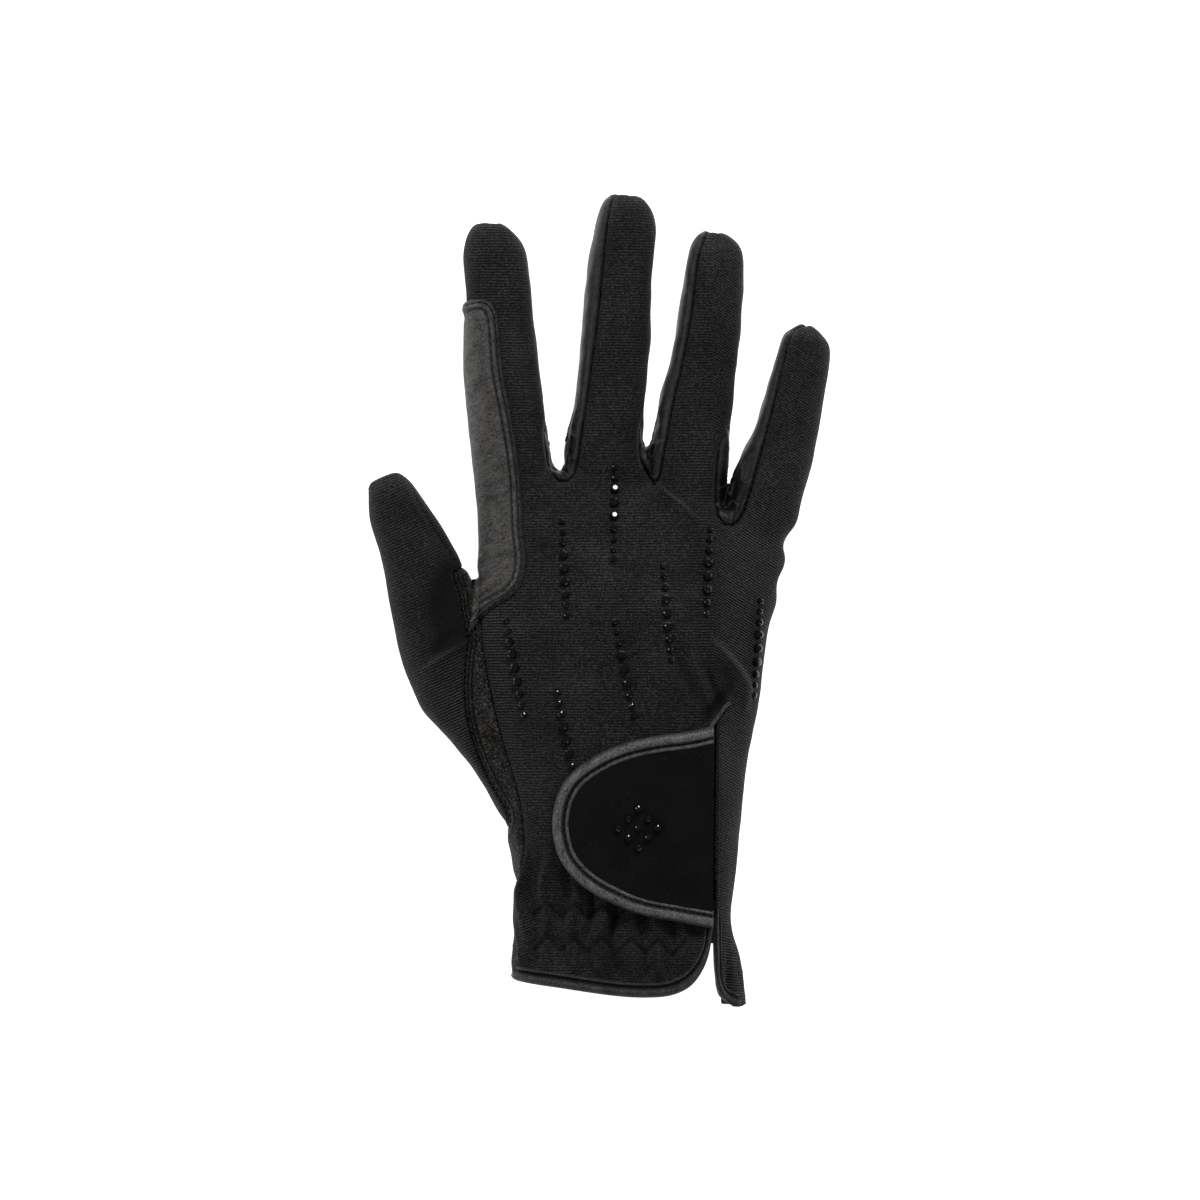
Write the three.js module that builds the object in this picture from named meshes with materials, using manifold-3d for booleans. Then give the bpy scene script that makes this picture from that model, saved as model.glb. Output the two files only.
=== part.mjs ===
// A riding glove for the right hand, lying on its palm with the back of the hand up.
// Millimetres. +X points to the little finger, +Y to the fingertips and +Z up.
// The origin is on the surface that the glove lies on, under the middle of the palm.
// The glove is a hollow wall of cloth and leather, open at the wrist. Its outer and inner forms are
// lofted from short tables, and the wall between them is cut into the panels that the glove is sewn from.
import * as THREE from "three";
import { mergeVertices } from "three/addons/utils/BufferGeometryUtils.js";
import Module from "manifold-3d";

const wasm = await Module();
wasm.setup();

// Driving sizes
const palmWidth = 85;
const palmLength = 140;
const palmThickness = 28;
const knuckleSlope = 0.22; // the knuckle line drops towards the little finger, per mm across
const wall = 1.4;
const seamGap = 0.35; // between two panels that are sewn together
const palmSeamHeight = 3.2; // where the palm leather ends on the sides of the hand
const fourchetteHeight = 8; // where a fourchette ends on the hidden side of a finger
const layGap = 0.35; // between a piece and the cloth that it lies on
const patchThickness = 1.1;
const tabLength = 46.3;
const tabWidth = 58.5;
const tabThickness = 1.9;
const tabBindingWidth = 3.4;
const tabBindingThickness = 2.6;
const cuffBindingWidth = 3.5;
const ventBindingWidth = 1.9;
const bindingFold = 0.7; // how far a binding stands proud of the wall on each face
const ventWidth = 0.6;
const gatherDepth = 0.4; // the small pleats that the elastic makes, each two sides of the hand wide
const stoneSizes = { small: 1.9, medium: 2.3, large: 2.9 };
const stoneHeightShare = 0.42; // height of a stone over its diameter
const stoneSpace = 1; // clear cloth between two stones of a row
const stoneToTab = 1; // from the tab's edge to the last stone of the row that ends above it
const beadWidth = 0.5;
const beadHeight = 0.5;
const beadLift = 0.06;

// Digits. root is where the axis starts, in shares of palm width and length, and lean is its angle from +Y.
const digits = {
  index: { across: -0.341, up: 0.229, length: 98.4, lean: -5.2, width: 22, thickness: 17 },
  middle: { across: -0.075, up: 0.229, length: 106.4, lean: 4.2, width: 21, thickness: 17 },
  ring: { across: 0.171, up: 0.186, length: 102.6, lean: 7.1, width: 20, thickness: 16 },
  little: { across: 0.402, up: 0.145, length: 83, lean: 14.6, width: 18.5, thickness: 15 },
  thumb: { across: -0.341, up: -0.331, length: 109.8, lean: -20.4, width: 24, thickness: 18 },
};

// Sections of each digit: along in shares of its length, left and right of its axis in shares of its width,
// top in shares of its thickness, and how plump the section is, which falls towards the rounded tip.
const columns = (names, rows) =>
  rows.map((row) => Object.fromEntries(names.map((name, i) => [name, row[i]])));
const digitColumns = ["along", "left", "right", "top", "plump"];
const digitSections = {
  index: columns(digitColumns, [
    [0.0, 0.2, 0.3, 0.8, 0.85],
    [0.16, 0.46, 0.5, 0.98, 1],
    [0.3, 0.47, 0.53, 1.02, 1],
    [0.55, 0.47, 0.49, 0.98, 1],
    [0.74, 0.415, 0.465, 0.95, 1],
    [0.9, 0.395, 0.45, 0.92, 1],
    [0.95, 0.35, 0.365, 0.9, 0.87],
    [0.98, 0.28, 0.26, 0.9, 0.68],
    [1.0, 0.21, 0.12, 0.9, 0.36],
  ]),
  middle: columns(digitColumns, [
    [0.0, 0.5, 0.6, 0.85, 0.9],
    [0.27, 0.565, 0.6, 1.0, 1],
    [0.335, 0.56, 0.505, 1.02, 1],
    [0.42, 0.49, 0.505, 1.02, 1],
    [0.8, 0.435, 0.48, 0.94, 1],
    [0.9, 0.38, 0.475, 0.92, 1],
    [0.95, 0.335, 0.415, 0.91, 0.88],
    [0.98, 0.275, 0.315, 0.9, 0.66],
    [1.0, 0.17, 0.21, 0.9, 0.36],
  ]),
  ring: columns(digitColumns, [
    [0.0, 0.6, 0.55, 0.85, 0.9],
    [0.34, 0.58, 0.63, 1.03, 1],
    [0.4, 0.495, 0.61, 1.03, 1],
    [0.5, 0.495, 0.61, 1.02, 1],
    [0.6, 0.4, 0.585, 0.98, 1],
    [0.8, 0.35, 0.565, 0.94, 1],
    [0.93, 0.34, 0.51, 0.92, 0.95],
    [0.975, 0.26, 0.38, 0.9, 0.7],
    [1.0, 0.13, 0.13, 0.9, 0.34],
  ]),
  little: columns(digitColumns, [
    [0.0, 0.25, 0.2, 0.8, 0.85],
    [0.2, 0.52, 0.46, 1.02, 1],
    [0.32, 0.57, 0.545, 1.05, 1],
    [0.5, 0.52, 0.595, 1.02, 1],
    [0.6, 0.425, 0.575, 0.99, 1],
    [0.88, 0.39, 0.475, 0.92, 1],
    [0.94, 0.36, 0.41, 0.91, 0.92],
    [0.98, 0.2, 0.2, 0.9, 0.55],
    [1.0, 0.09, 0.0, 0.9, 0.26],
  ]),
  thumb: columns(digitColumns, [
    [-0.1, 0.0, 0.35, 0.7, 0.5],
    [0.1, 0.2, 0.5, 1.12, 1],
    [0.2, 0.29, 0.55, 1.18, 1],
    [0.3, 0.455, 0.6, 1.18, 1],
    [0.4, 0.63, 0.6, 1.15, 1],
    [0.5, 0.63, 0.58, 1.1, 1],
    [0.7, 0.52, 0.49, 1.0, 1],
    [0.8, 0.44, 0.4, 0.94, 1],
    [0.9, 0.41, 0.3, 0.88, 1],
    [0.96, 0.335, 0.23, 0.83, 0.93],
    [1.0, 0.27, 0.12, 0.76, 0.6],
  ]),
};

// Sections of the hand from below the hem to the knuckles: up in shares of palm length, left and right in
// shares of palm width, top in shares of palm thickness, slope in shares of the knuckle slope, and how
// strongly the elastic gathers the cloth there.
const handSections = columns(["up", "left", "right", "top", "slope", "gather"], [
  [-0.72, 0.368, 0.43, 0.8, 0, 0.4],
  [-0.635, 0.368, 0.416, 0.8, 0, 0.5],
  [-0.583, 0.372, 0.402, 0.8, 0, 1],
  [-0.55, 0.364, 0.387, 0.76, 0, 0.8],
  [-0.51, 0.361, 0.378, 0.78, 0, 1],
  [-0.45, 0.361, 0.389, 0.83, 0, 0.4],
  [-0.352, 0.382, 0.406, 0.92, 0, 0],
  [-0.186, 0.443, 0.437, 1.0, 0, 0],
  [-0.062, 0.488, 0.474, 1.01, 0, 0],
  [0.062, 0.505, 0.498, 0.98, 0, 0],
  [0.15, 0.484, 0.522, 0.92, 0.25, 0],
  [0.225, 0.474, 0.54, 0.83, 0.6, 0],
  [0.31, 0.478, 0.565, 0.72, 0.9, 0],
  [0.382, 0.465, 0.585, 0.6, 1, 0],
]);

const digitSides = 10;
const handTopSides = 22;
const handUnderSides = 6;
const middleShare = 0.44; // height of the widest point of a section, in shares of its top
const seatShare = 0.12; // how far a section would reach below the surface if it weren't flattened there
const digitFullness = 2.4; // exponents of the superellipses: 2 is an ellipse
const handFullness = 2.5;
const sky = 2 * palmLength; // above everything
const detail = 0.15; // flat faces that differ by less than this are joined

// Basic shapes and solids

function solidOf(geometry) {
  const bare = geometry.index ? geometry.toNonIndexed() : geometry.clone();
  bare.deleteAttribute("normal");
  bare.deleteAttribute("uv");
  const merged = mergeVertices(bare, 1e-4);
  return new wasm.Manifold(
    new wasm.Mesh({
      numProp: 3,
      vertProperties: merged.attributes.position.array,
      triVerts: new Uint32Array(merged.index.array),
    }),
  );
}

// A closed solid through rings of points. Each ring runs anticlockwise seen from the next one.
function loft(rings) {
  const positions = rings.flat().flatMap((p) => [p.x, p.y, p.z]);
  const count = rings[0].length;
  const index = [];
  for (let r = 0; r + 1 < rings.length; r++) {
    for (let i = 0; i < count; i++) {
      const a = r * count + i;
      const b = r * count + ((i + 1) % count);
      index.push(a, b, b + count, a, b + count, a + count);
    }
  }
  const last = (rings.length - 1) * count;
  for (let i = 1; i + 1 < count; i++) {
    index.push(0, i + 1, i, last, last + i, last + i + 1);
  }
  const geometry = new THREE.BufferGeometry();
  geometry.setAttribute("position", new THREE.Float32BufferAttribute(positions, 3));
  geometry.setIndex(index);
  return solidOf(geometry);
}

// A closed prism over an outline of [x, y] points, between two heights.
function prism(outline, low, high) {
  const shape = new THREE.Shape(outline.map(([x, y]) => new THREE.Vector2(x, y)));
  const geometry = new THREE.ExtrudeGeometry(shape, { depth: high - low, bevelEnabled: false });
  return solidOf(geometry.translate(0, 0, low));
}

function block(low, high) {
  const outline = [[low[0], low[1]], [high[0], low[1]], [high[0], high[1]], [low[0], high[1]]];
  return prism(outline, low[2], high[2]);
}

// An outline moved outwards by a distance, with mitred corners. A negative distance moves it inwards.
function grown(outline, distance) {
  const area = outline.reduce((sum, [x, y], i) => {
    const [nextX, nextY] = outline[(i + 1) % outline.length];
    return sum + x * nextY - nextX * y;
  }, 0);
  const turn = Math.sign(area);
  return outline.map((point, i) => {
    const before = outline[(i + outline.length - 1) % outline.length];
    const after = outline[(i + 1) % outline.length];
    const edge = (from, to) => {
      const length = Math.hypot(to[0] - from[0], to[1] - from[1]);
      return [((to[1] - from[1]) / length) * turn, (-(to[0] - from[0]) / length) * turn];
    };
    const [ax, ay] = edge(before, point);
    const [bx, by] = edge(point, after);
    const scale = distance / Math.max(0.35, 1 + ax * bx + ay * by);
    return [point[0] + (ax + bx) * scale, point[1] + (ay + by) * scale];
  });
}

function joined(solids) {
  return solids.reduce((sum, solid) => sum.add(solid));
}

// The largest body of a cut solid, without the slivers that thin cuts leave.
function largest(solid) {
  return solid.decompose().reduce((best, body) => (body.volume() > best.volume() ? body : best));
}

// The form of the hand

function superellipse(angle, fullness) {
  const power = 2 / fullness;
  const c = Math.cos(angle);
  const s = Math.sin(angle);
  return [Math.sign(c) * Math.abs(c) ** power, Math.sign(s) * Math.abs(s) ** power];
}

function sectionPoint(angle, section, fullness, offset) {
  const [across, rise] = superellipse(angle, fullness);
  const side = (across >= 0 ? section.right : section.left) + offset;
  const reach = (rise >= 0 ? section.top - section.middle : section.middle - section.bottom) + offset;
  return [Math.max(side, 0.2) * across, section.middle + Math.max(reach, 0.2) * rise];
}

function digitFrame(digit) {
  const lean = THREE.MathUtils.degToRad(digit.lean);
  const root = new THREE.Vector2(digit.across * palmWidth, digit.up * palmLength);
  const along = new THREE.Vector2(Math.sin(lean), Math.cos(lean));
  const across = new THREE.Vector2(along.y, -along.x);
  return { root, along, across };
}

// The [x, y] of a point on a digit, along it in shares of its length and beside it in shares of its width.
function onDigit(name, along, side) {
  const digit = digits[name];
  const frame = digitFrame(digit);
  const point = frame.root
    .clone()
    .addScaledVector(frame.along, along * digit.length)
    .addScaledVector(frame.across, side * digit.width);
  return [point.x, point.y];
}

const onHand = (across, up) => [across * palmWidth, up * palmLength];

// A digit grown by an offset. Its last sections also move along the axis, so that the tip keeps its wall.
function digitForm(name, offset) {
  const digit = digits[name];
  const frame = digitFrame(digit);
  const tipStart = 0.86;
  const rings = digitSections[name].map((row) => {
    const middle = middleShare * digit.thickness * row.top;
    const section = {
      left: row.left * digit.width,
      right: row.right * digit.width,
      middle,
      top: middle + (1 - middleShare) * digit.thickness * row.top * row.plump,
      bottom: middle - (middleShare + seatShare) * digit.thickness * row.top * row.plump,
    };
    const towardsTip = Math.max(0, (row.along - tipStart) / (1 - tipStart));
    const distance = row.along * digit.length + offset * towardsTip;
    const narrow = 1 - 0.45 * towardsTip;
    return Array.from({ length: digitSides }, (_, i) => {
      const angle = (-2 * Math.PI * i) / digitSides;
      const [across, z] = sectionPoint(angle, section, digitFullness, offset * narrow);
      return new THREE.Vector3(
        frame.root.x + frame.along.x * distance + frame.across.x * across,
        frame.root.y + frame.along.y * distance + frame.across.y * across,
        z,
      );
    });
  });
  return loft(rings);
}

// The angles round a section of the hand, close together over the back and further apart under the palm.
const handAngles = [
  ...Array.from({ length: handTopSides }, (_, i) => Math.PI * (1 - i / handTopSides)),
  ...Array.from({ length: handUnderSides }, (_, i) => (-Math.PI * i) / handUnderSides),
];

// The rest of the hand grown by an offset, also at the knuckles, where its end closes the crotches of the
// fingers. The elastic at the wrist draws its back into small gathers.
function handForm(offset) {
  const rings = handSections.map((row, r) => {
    const y = row.up * palmLength + (r === handSections.length - 1 ? offset : 0);
    const middle = middleShare * palmThickness * row.top;
    const section = {
      left: row.left * palmWidth,
      right: row.right * palmWidth,
      middle,
      top: palmThickness * row.top,
      bottom: -seatShare * palmThickness * row.top,
    };
    return handAngles.map((angle, i) => {
      const [x, z] = sectionPoint(angle, section, handFullness, offset);
      const onBack = Math.max(0, Math.sin(angle));
      const gather = gatherDepth * row.gather * onBack * (i % 2 ? 1 : -1);
      return new THREE.Vector3(x, y - x * knuckleSlope * row.slope, z + gather);
    });
  });
  return loft(rings);
}

const digitNames = Object.keys(digits);
const wide = [-2 * palmWidth, -2 * palmLength];
const far = [2 * palmWidth, 2 * palmLength];
const above = (height) => block([...wide, height], [...far, sky]);

function gloveForm(offset, names = digitNames) {
  const all = joined([handForm(offset), ...names.map((name) => digitForm(name, offset))]);
  return all.intersect(above(offset < 0 ? -offset : 0));
}

const outerForm = gloveForm(0);
const innerForm = gloveForm(-wall);
const shell = outerForm.subtract(innerForm);

// Outlines of the panels, seen from above

// The seam on the near side of each finger, from the crotch to its tip.
const nearSeams = {
  middle: columns(["along", "side"], [
    [0.205, -0.52], [0.222, -0.44], [0.262, -0.39], [0.377, -0.35], [0.515, -0.3],
    [0.68, -0.25], [0.926, -0.22], [1.03, -0.14],
  ]),
  ring: columns(["along", "side"], [
    [0.262, -0.42], [0.282, -0.35], [0.348, -0.33], [0.506, -0.28], [0.593, -0.23],
    [0.765, -0.18], [0.921, -0.18], [1.03, -0.05],
  ]),
  little: columns(["along", "side"], [
    [0.246, -0.5], [0.248, -0.39], [0.273, -0.29], [0.347, -0.25], [0.636, -0.24],
    [0.887, -0.27], [0.949, -0.25], [1.04, -0.1],
  ]),
};

// The edge of the cloth on the far side of each finger, from beyond its tip back to the crotch.
const farEdges = {
  index: columns(["along", "side"], [
    [1.08, 0.66], [0.46, 0.66], [0.373, 0.51], [0.314, 0.5], [0.25, 0.53], [0.222, 0.6],
  ]),
  middle: columns(["along", "side"], [
    [1.08, 0.66], [0.45, 0.62], [0.363, 0.48], [0.295, 0.49], [0.235, 0.6],
  ]),
  ring: columns(["along", "side"], [[1.08, 0.74], [0.5, 0.7], [0.4, 0.5], [0.297, 0.49], [0.2, 0.56]]),
  little: columns(["along", "side"], [[1.1, 0.8], [0.5, 0.8], [0.2, 0.8]]),
};
const digitPoints = (name, rows) => rows.map((row) => onDigit(name, row.along, row.side));

// The seam between the cloth back and the leather strip beside the thumb, from the wrist up.
const stripSeam = [
  [-0.41, -0.37], [-0.37, -0.34], [-0.375, -0.269], [-0.399, -0.155],
  [-0.437, -0.062], [-0.464, 0.021], [-0.478, 0.093], [-0.478, 0.145], [-0.481, 0.197], [-0.53, 0.228],
].map(([across, up]) => onHand(across, up));

// The seam round the thumb, from the wrist up to the crotch.
const thumbSeam = [
  [-0.4, -0.346], [-0.386, -0.3], [-0.43, -0.249], [-0.471, -0.197], [-0.508, -0.135],
  [-0.529, -0.062], [-0.526, 0.021], [-0.516, 0.069], [-0.534, 0.106], [-0.547, 0.16], [-0.565, 0.201],
  [-0.53, 0.216],
].map(([across, up]) => onHand(across, up));

// The lower edge of the back, from its left end round the corner to the top of the vent.
const cuffEdge = [
  [-0.46, -0.62], [-0.359, -0.64], [-0.205, -0.654], [0.0, -0.671], [0.12, -0.673], [0.19, -0.666],
  [0.245, -0.647], [0.286, -0.61], [0.307, -0.565], [0.315, -0.49],
].map(([across, up]) => onHand(across, up));
const ventTop = onHand(0.345, -0.068);
const ventRoot = onHand(0.321, -0.11);
cuffEdge.push(ventRoot);

// The free edge on the little finger's side of the vent, and the hem of the flap below it.
const flapEdge = [
  [0.315, -0.49], [0.317, -0.58], [0.32, -0.632], [0.333, -0.664], [0.358, -0.685],
  [0.392, -0.694], [0.47, -0.688],
].map(([across, up]) => {
  const [x, y] = onHand(across, up);
  return [x + ventWidth, y];
});
flapEdge.unshift([ventRoot[0] + ventWidth, ventRoot[1]]);

// A line of points moved to its left by distances that run from the first to the second.
function beside(line, first, second) {
  return line.map((point, i) => {
    const before = line[Math.max(0, i - 1)];
    const after = line[Math.min(line.length - 1, i + 1)];
    const length = Math.hypot(after[0] - before[0], after[1] - before[1]);
    const share = i / (line.length - 1);
    const distance = first + (second - first) * share ** 1.5;
    return [
      point[0] - ((after[1] - before[1]) / length) * distance,
      point[1] + ((after[0] - before[0]) / length) * distance,
    ];
  });
}

const cuffBand = beside(cuffEdge, cuffBindingWidth, ventBindingWidth);
const flapBand = beside(flapEdge, ventBindingWidth, ventBindingWidth);

const backOutline = [
  ...stripSeam,
  onDigit("index", 0.3, -0.8),
  onDigit("index", 1.08, -0.8),
  ...digitPoints("index", farEdges.index),
  ...digitPoints("middle", nearSeams.middle),
  ...digitPoints("middle", farEdges.middle),
  ...digitPoints("ring", nearSeams.ring),
  ...digitPoints("ring", farEdges.ring),
  ...digitPoints("little", nearSeams.little),
  ...digitPoints("little", farEdges.little),
  onHand(0.72, 0.12),
  onHand(0.6, -0.2),
  onHand(0.6, -0.68),
  ...flapBand.toReversed(),
  ventTop,
  ...cuffBand.toReversed(),
];

const thumbOutline = [
  ...thumbSeam,
  onDigit("thumb", 0.78, 0.56),
  onDigit("thumb", 1.12, 0.56),
  onDigit("thumb", 1.12, -1),
  onDigit("thumb", -0.05, -1),
];

// The space between two fingers, from the middle of one to the middle of the next.
const fingerGaps = [
  { name: "fourchette_index_middle", near: "index", far: "middle", nearStart: 0.165, farStart: 0.15 },
  { name: "fourchette_middle_ring", near: "middle", far: "ring", nearStart: 0.105, farStart: 0.165 },
  { name: "fourchette_ring_little", near: "ring", far: "little", nearStart: 0.11, farStart: 0.21 },
];
const gapOutline = (gap) => [
  onDigit(gap.near, gap.nearStart, 0.05),
  onDigit(gap.near, 1.1, 0.05),
  onDigit(gap.far, 1.1, -0.04),
  onDigit(gap.far, gap.farStart, -0.04),
];

// Panels

// Where the cloth of the back is, grown on all sides by a distance.
function backRegion(distance) {
  const full = prism(grown(backOutline, distance), palmSeamHeight - distance, sky);
  const sides = fingerGaps.map((gap) =>
    prism(grown(gapOutline(gap), -distance), -1, fourchetteHeight - distance),
  );
  return full.subtract(joined(sides));
}

const thumbRegion = (distance) =>
  prism(grown(thumbOutline, distance), palmSeamHeight - distance, sky);

const upperShell = shell.intersect(above(palmSeamHeight));
const backPanel = largest(shell.intersect(backRegion(0)));
const notBack = upperShell.subtract(backRegion(seamGap));
const thumbBack = largest(notBack.intersect(thumbRegion(0)));
const fourchettes = fingerGaps.map((gap) =>
  largest(notBack.intersect(prism(grown(gapOutline(gap), -seamGap), -1, sky))),
);
const gapRegions = joined(fingerGaps.map((gap) => prism(grown(gapOutline(gap), seamGap), -1, sky)));
const wristLine = -0.37 * palmLength;
const sideStrip = largest(
  notBack
    .subtract(thumbRegion(seamGap))
    .subtract(gapRegions)
    .intersect(block([-palmWidth, wristLine, 0], [-0.2 * palmWidth, 0.4 * palmLength, sky])),
);

// The hem of the palm rises from the flap to the vent, where it hides behind the cuff.
const palmHem = [
  [-0.46, -0.615], [-0.2, -0.612], [0.2, -0.585], [0.3, -0.568], [0.36, -0.572], [0.4, -0.62],
  [0.52, -0.66],
].map(([across, up]) => onHand(across, up));
const palmBand = beside(palmHem, cuffBindingWidth, cuffBindingWidth);
const [farRight, farTop] = far;
const palmOutline = [
  ...palmBand,
  [farRight, palmBand.at(-1)[1]],
  [farRight, farTop],
  [-farRight, farTop],
  [-farRight, palmBand[0][1]],
];
const palmTop = palmSeamHeight - seamGap;
const palmPanel = largest(shell.intersect(prism(palmOutline, -1, palmTop)));

// Bindings. Leather is folded over each raw edge, so it is thicker than the wall that it holds.
const bindingForm = gloveForm(bindingFold, []).subtract(gloveForm(-wall - bindingFold, []));
// A binding's band stops short of the panel that it edges, which leaves the seam gap.
const bandOutline = (edge, band) => [...edge, ...beside(band, -seamGap, -seamGap).toReversed()];

const cuffBinding = largest(
  bindingForm.intersect(prism(bandOutline(cuffEdge, cuffBand), palmSeamHeight, sky)),
);
const flapBinding = largest(
  bindingForm.intersect(prism(bandOutline(flapEdge, flapBand), palmSeamHeight, sky)),
);
const palmBinding = largest(
  bindingForm.intersect(prism(bandOutline(palmHem, palmBand), -1, palmTop)),
);

// The leather patch over the thumb side of the index finger, in the finger's own shares.
const patchOutline = digitPoints("index", columns(["along", "side"], [
  [-0.25, -0.78], [0.2, -1.1], [0.765, -1.1], [0.768, -0.42], [0.774, -0.26], [0.769, -0.13],
  [0.753, -0.05], [0.719, 0.0], [0.553, 0.0], [0.434, 0.05], [0.315, 0.09], [0.196, 0.1], [0.079, 0.08],
  [-0.01, 0.08], [-0.071, 0.0], [-0.109, -0.16], [-0.134, -0.39], [-0.171, -0.61], [-0.207, -0.74],
]));
const clearOfGlove = gloveForm(layGap);
const patchForm = gloveForm(layGap + patchThickness, ["index"]).subtract(clearOfGlove);
const indexPatch = largest(patchForm.intersect(prism(patchOutline, palmSeamHeight + 0.6, sky)));

// The closing tab: a rounded D that starts at the vent and lies over the back of the wrist. Its edge is
// in shares of its length from the vent and of its width from its middle line.
const tabEdge = columns(["along", "side"], [
  [0.0, 0.48], [0.158, 0.452], [0.371, 0.429], [0.56, 0.394], [0.729, 0.335], [0.879, 0.251],
  [0.961, 0.156], [1.0, 0.03], [0.993, -0.068], [0.946, -0.184], [0.823, -0.3], [0.654, -0.384],
  [0.452, -0.449], [0.221, -0.488], [0.0, -0.522],
]);
const tabEdgePoints = 20;
const tabMiddle = -0.314 * palmLength;
const tabStart = ventRoot[0] - layGap;
const tabCurve = new THREE.SplineCurve(
  tabEdge.map((row) => {
    const side = tabMiddle + row.side * tabWidth;
    return new THREE.Vector2(tabStart - row.along * tabLength, side);
  }),
);
const tabOutline = tabCurve.getPoints(tabEdgePoints).map((point) => [point.x, point.y]);

// The tab's outline moved inwards, except at the vent, where it runs on past the tab's end.
function insetTab(distance) {
  const past = tabStart + tabBindingWidth;
  const curve = grown(tabOutline, -distance).slice(1, -1);
  return [[past, curve[0][1]], ...curve, [past, curve.at(-1)[1]]];
}
const tabEnd = block([...wide, 0], [tabStart, far[1], sky]);
// The tab is hollowed where it passes over the raised binding of the vent.
const overBinding = gloveForm(bindingFold + layGap, []).intersect(
  prism(grown(bandOutline(cuffEdge, cuffBand), seamGap), palmSeamHeight, sky),
);
const tabForm = (thickness) =>
  gloveForm(layGap + thickness, []).subtract(clearOfGlove).subtract(overBinding);
const tabPrism = (outline) => prism(outline, palmSeamHeight, sky).intersect(tabEnd);
const closureTab = largest(
  tabForm(tabThickness).intersect(tabPrism(insetTab(tabBindingWidth + seamGap))),
);
const tabBinding = largest(
  tabForm(tabBindingThickness)
    .intersect(tabPrism(tabOutline))
    .subtract(tabPrism(insetTab(tabBindingWidth))),
);

// Stones

// A solid as three.js geometry.
function geometryOf(solid) {
  const mesh = solid.getMesh();
  const geometry = new THREE.BufferGeometry();
  const positions = new Float32Array(mesh.numVert * 3);
  for (let i = 0; i < mesh.numVert; i++) {
    positions.set(mesh.vertProperties.subarray(i * mesh.numProp, i * mesh.numProp + 3), i * 3);
  }
  geometry.setAttribute("position", new THREE.BufferAttribute(positions, 3));
  geometry.setIndex(new THREE.BufferAttribute(mesh.triVerts, 1));
  return geometry;
}

const flatSurface = (solid) => new THREE.Mesh(geometryOf(solid), new THREE.MeshBasicMaterial());
const ray = new THREE.Raycaster();
const down = new THREE.Vector3(0, 0, -1);

function heightAt(surface, x, y) {
  ray.set(new THREE.Vector3(x, y, sky), down);
  const [hit] = ray.intersectObject(surface);
  return hit ? hit.point.z : 0;
}

// A point on a surface and the direction in which it faces, averaged over the foot of a stone.
function seatAt(surface, x, y) {
  const reach = stoneSizes.large / 2;
  const slopeX = (heightAt(surface, x + reach, y) - heightAt(surface, x - reach, y)) / (2 * reach);
  const slopeY = (heightAt(surface, x, y + reach) - heightAt(surface, x, y - reach)) / (2 * reach);
  const normal = new THREE.Vector3(-slopeX, -slopeY, 1).normalize();
  const point = new THREE.Vector3(x, y, heightAt(surface, x, y));
  return { point: point.addScaledVector(normal, layGap), normal };
}

// A flat-backed stone with eight crown facets and a table, turned so that a facet faces along its row.
function stone({ size, turn = 0 }, seat) {
  const diameter = stoneSizes[size];
  const height = diameter * stoneHeightShare;
  const rings = [
    [diameter / 2, 0],
    [diameter * 0.28, height],
  ].map(([radius, z]) =>
    Array.from({ length: 8 }, (_, i) => {
      const angle = (Math.PI * (i + 0.5)) / 4 + turn;
      return new THREE.Vector3(radius * Math.cos(angle), radius * Math.sin(angle), z);
    }),
  );
  const tilt = new THREE.Quaternion().setFromUnitVectors(new THREE.Vector3(0, 0, 1), seat.normal);
  return loft(rings.map((ring) => ring.map((p) => p.applyQuaternion(tilt).add(seat.point))));
}

// The thin bead of adhesive that a line of stones is set in: three-sided, through the foot of each stone.
function bead(seats) {
  const along = seats.at(-1).point.clone().sub(seats[0].point).normalize();
  const rings = seats.map(({ point, normal }) => {
    const across = new THREE.Vector3().crossVectors(along, normal).normalize();
    const corner = (side, rise) =>
      point.clone().addScaledVector(across, side).addScaledVector(normal, rise);
    return [
      corner(0, beadHeight),
      corner(beadWidth / 2, beadLift),
      corner(-beadWidth / 2, beadLift),
    ];
  });
  return loft(rings);
}

// Stones on a surface, joined along each line of stones that the beads run through.
function stoneField(surface, stones, lines) {
  const seats = stones.map(({ x, y }) => seatAt(surface, x, y));
  const bodies = stones.map((place, i) => stone(place, seats[i]));
  const beads = lines.map((line) => bead(line.map((i) => seats[i])));
  return joined([...bodies, ...beads]);
}

// Rows of stones on the back: the top end in shares of palm width and length, the drift across over the
// row's length, how many stones it has, and which of them is in the middle of the large ones.
const stoneRows = columns(["across", "up", "drift", "count", "largest"], [
  [-0.386, 0.102, 0.19, 9, 4],
  [-0.197, 0.306, 0.05, 9, 4],
  [-0.017, 0.421, -0.02, 9, 3],
  [0.146, 0.215, 0.08, 9, 4],
  [0.304, 0.29, -0.05, 8, 4],
  [0.474, 0.142, -0.07, 9, 4],
  [-0.017, 0.1, 0.2, 9, 4],
  [-0.213, -0.046, 0.2, 7, 4],
]);
const sizeFrom = (steps) => ["large", "large", "medium"][steps] ?? "small";

function rowStones(row) {
  const [x, y] = onHand(row.across, row.up);
  let distance = -stoneSizes.small / 2;
  return Array.from({ length: row.count }, (_, i) => {
    const size = sizeFrom(Math.abs(i - row.largest));
    const middle = distance + stoneSizes[size] / 2;
    distance += stoneSizes[size] + stoneSpace;
    return { x: x + row.drift * middle, y: y - middle, size, turn: Math.atan(row.drift) };
  });
}

// The height of the tab's upper edge in the plan, over a place across the hand.
function tabEdgeAt(x) {
  const next = tabOutline.findIndex(([edgeX]) => edgeX < x);
  const [[rightX, rightY], [leftX, leftY]] = tabOutline.slice(next - 1, next + 1);
  return leftY + ((rightY - leftY) * (x - leftX)) / (rightX - leftX);
}

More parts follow.
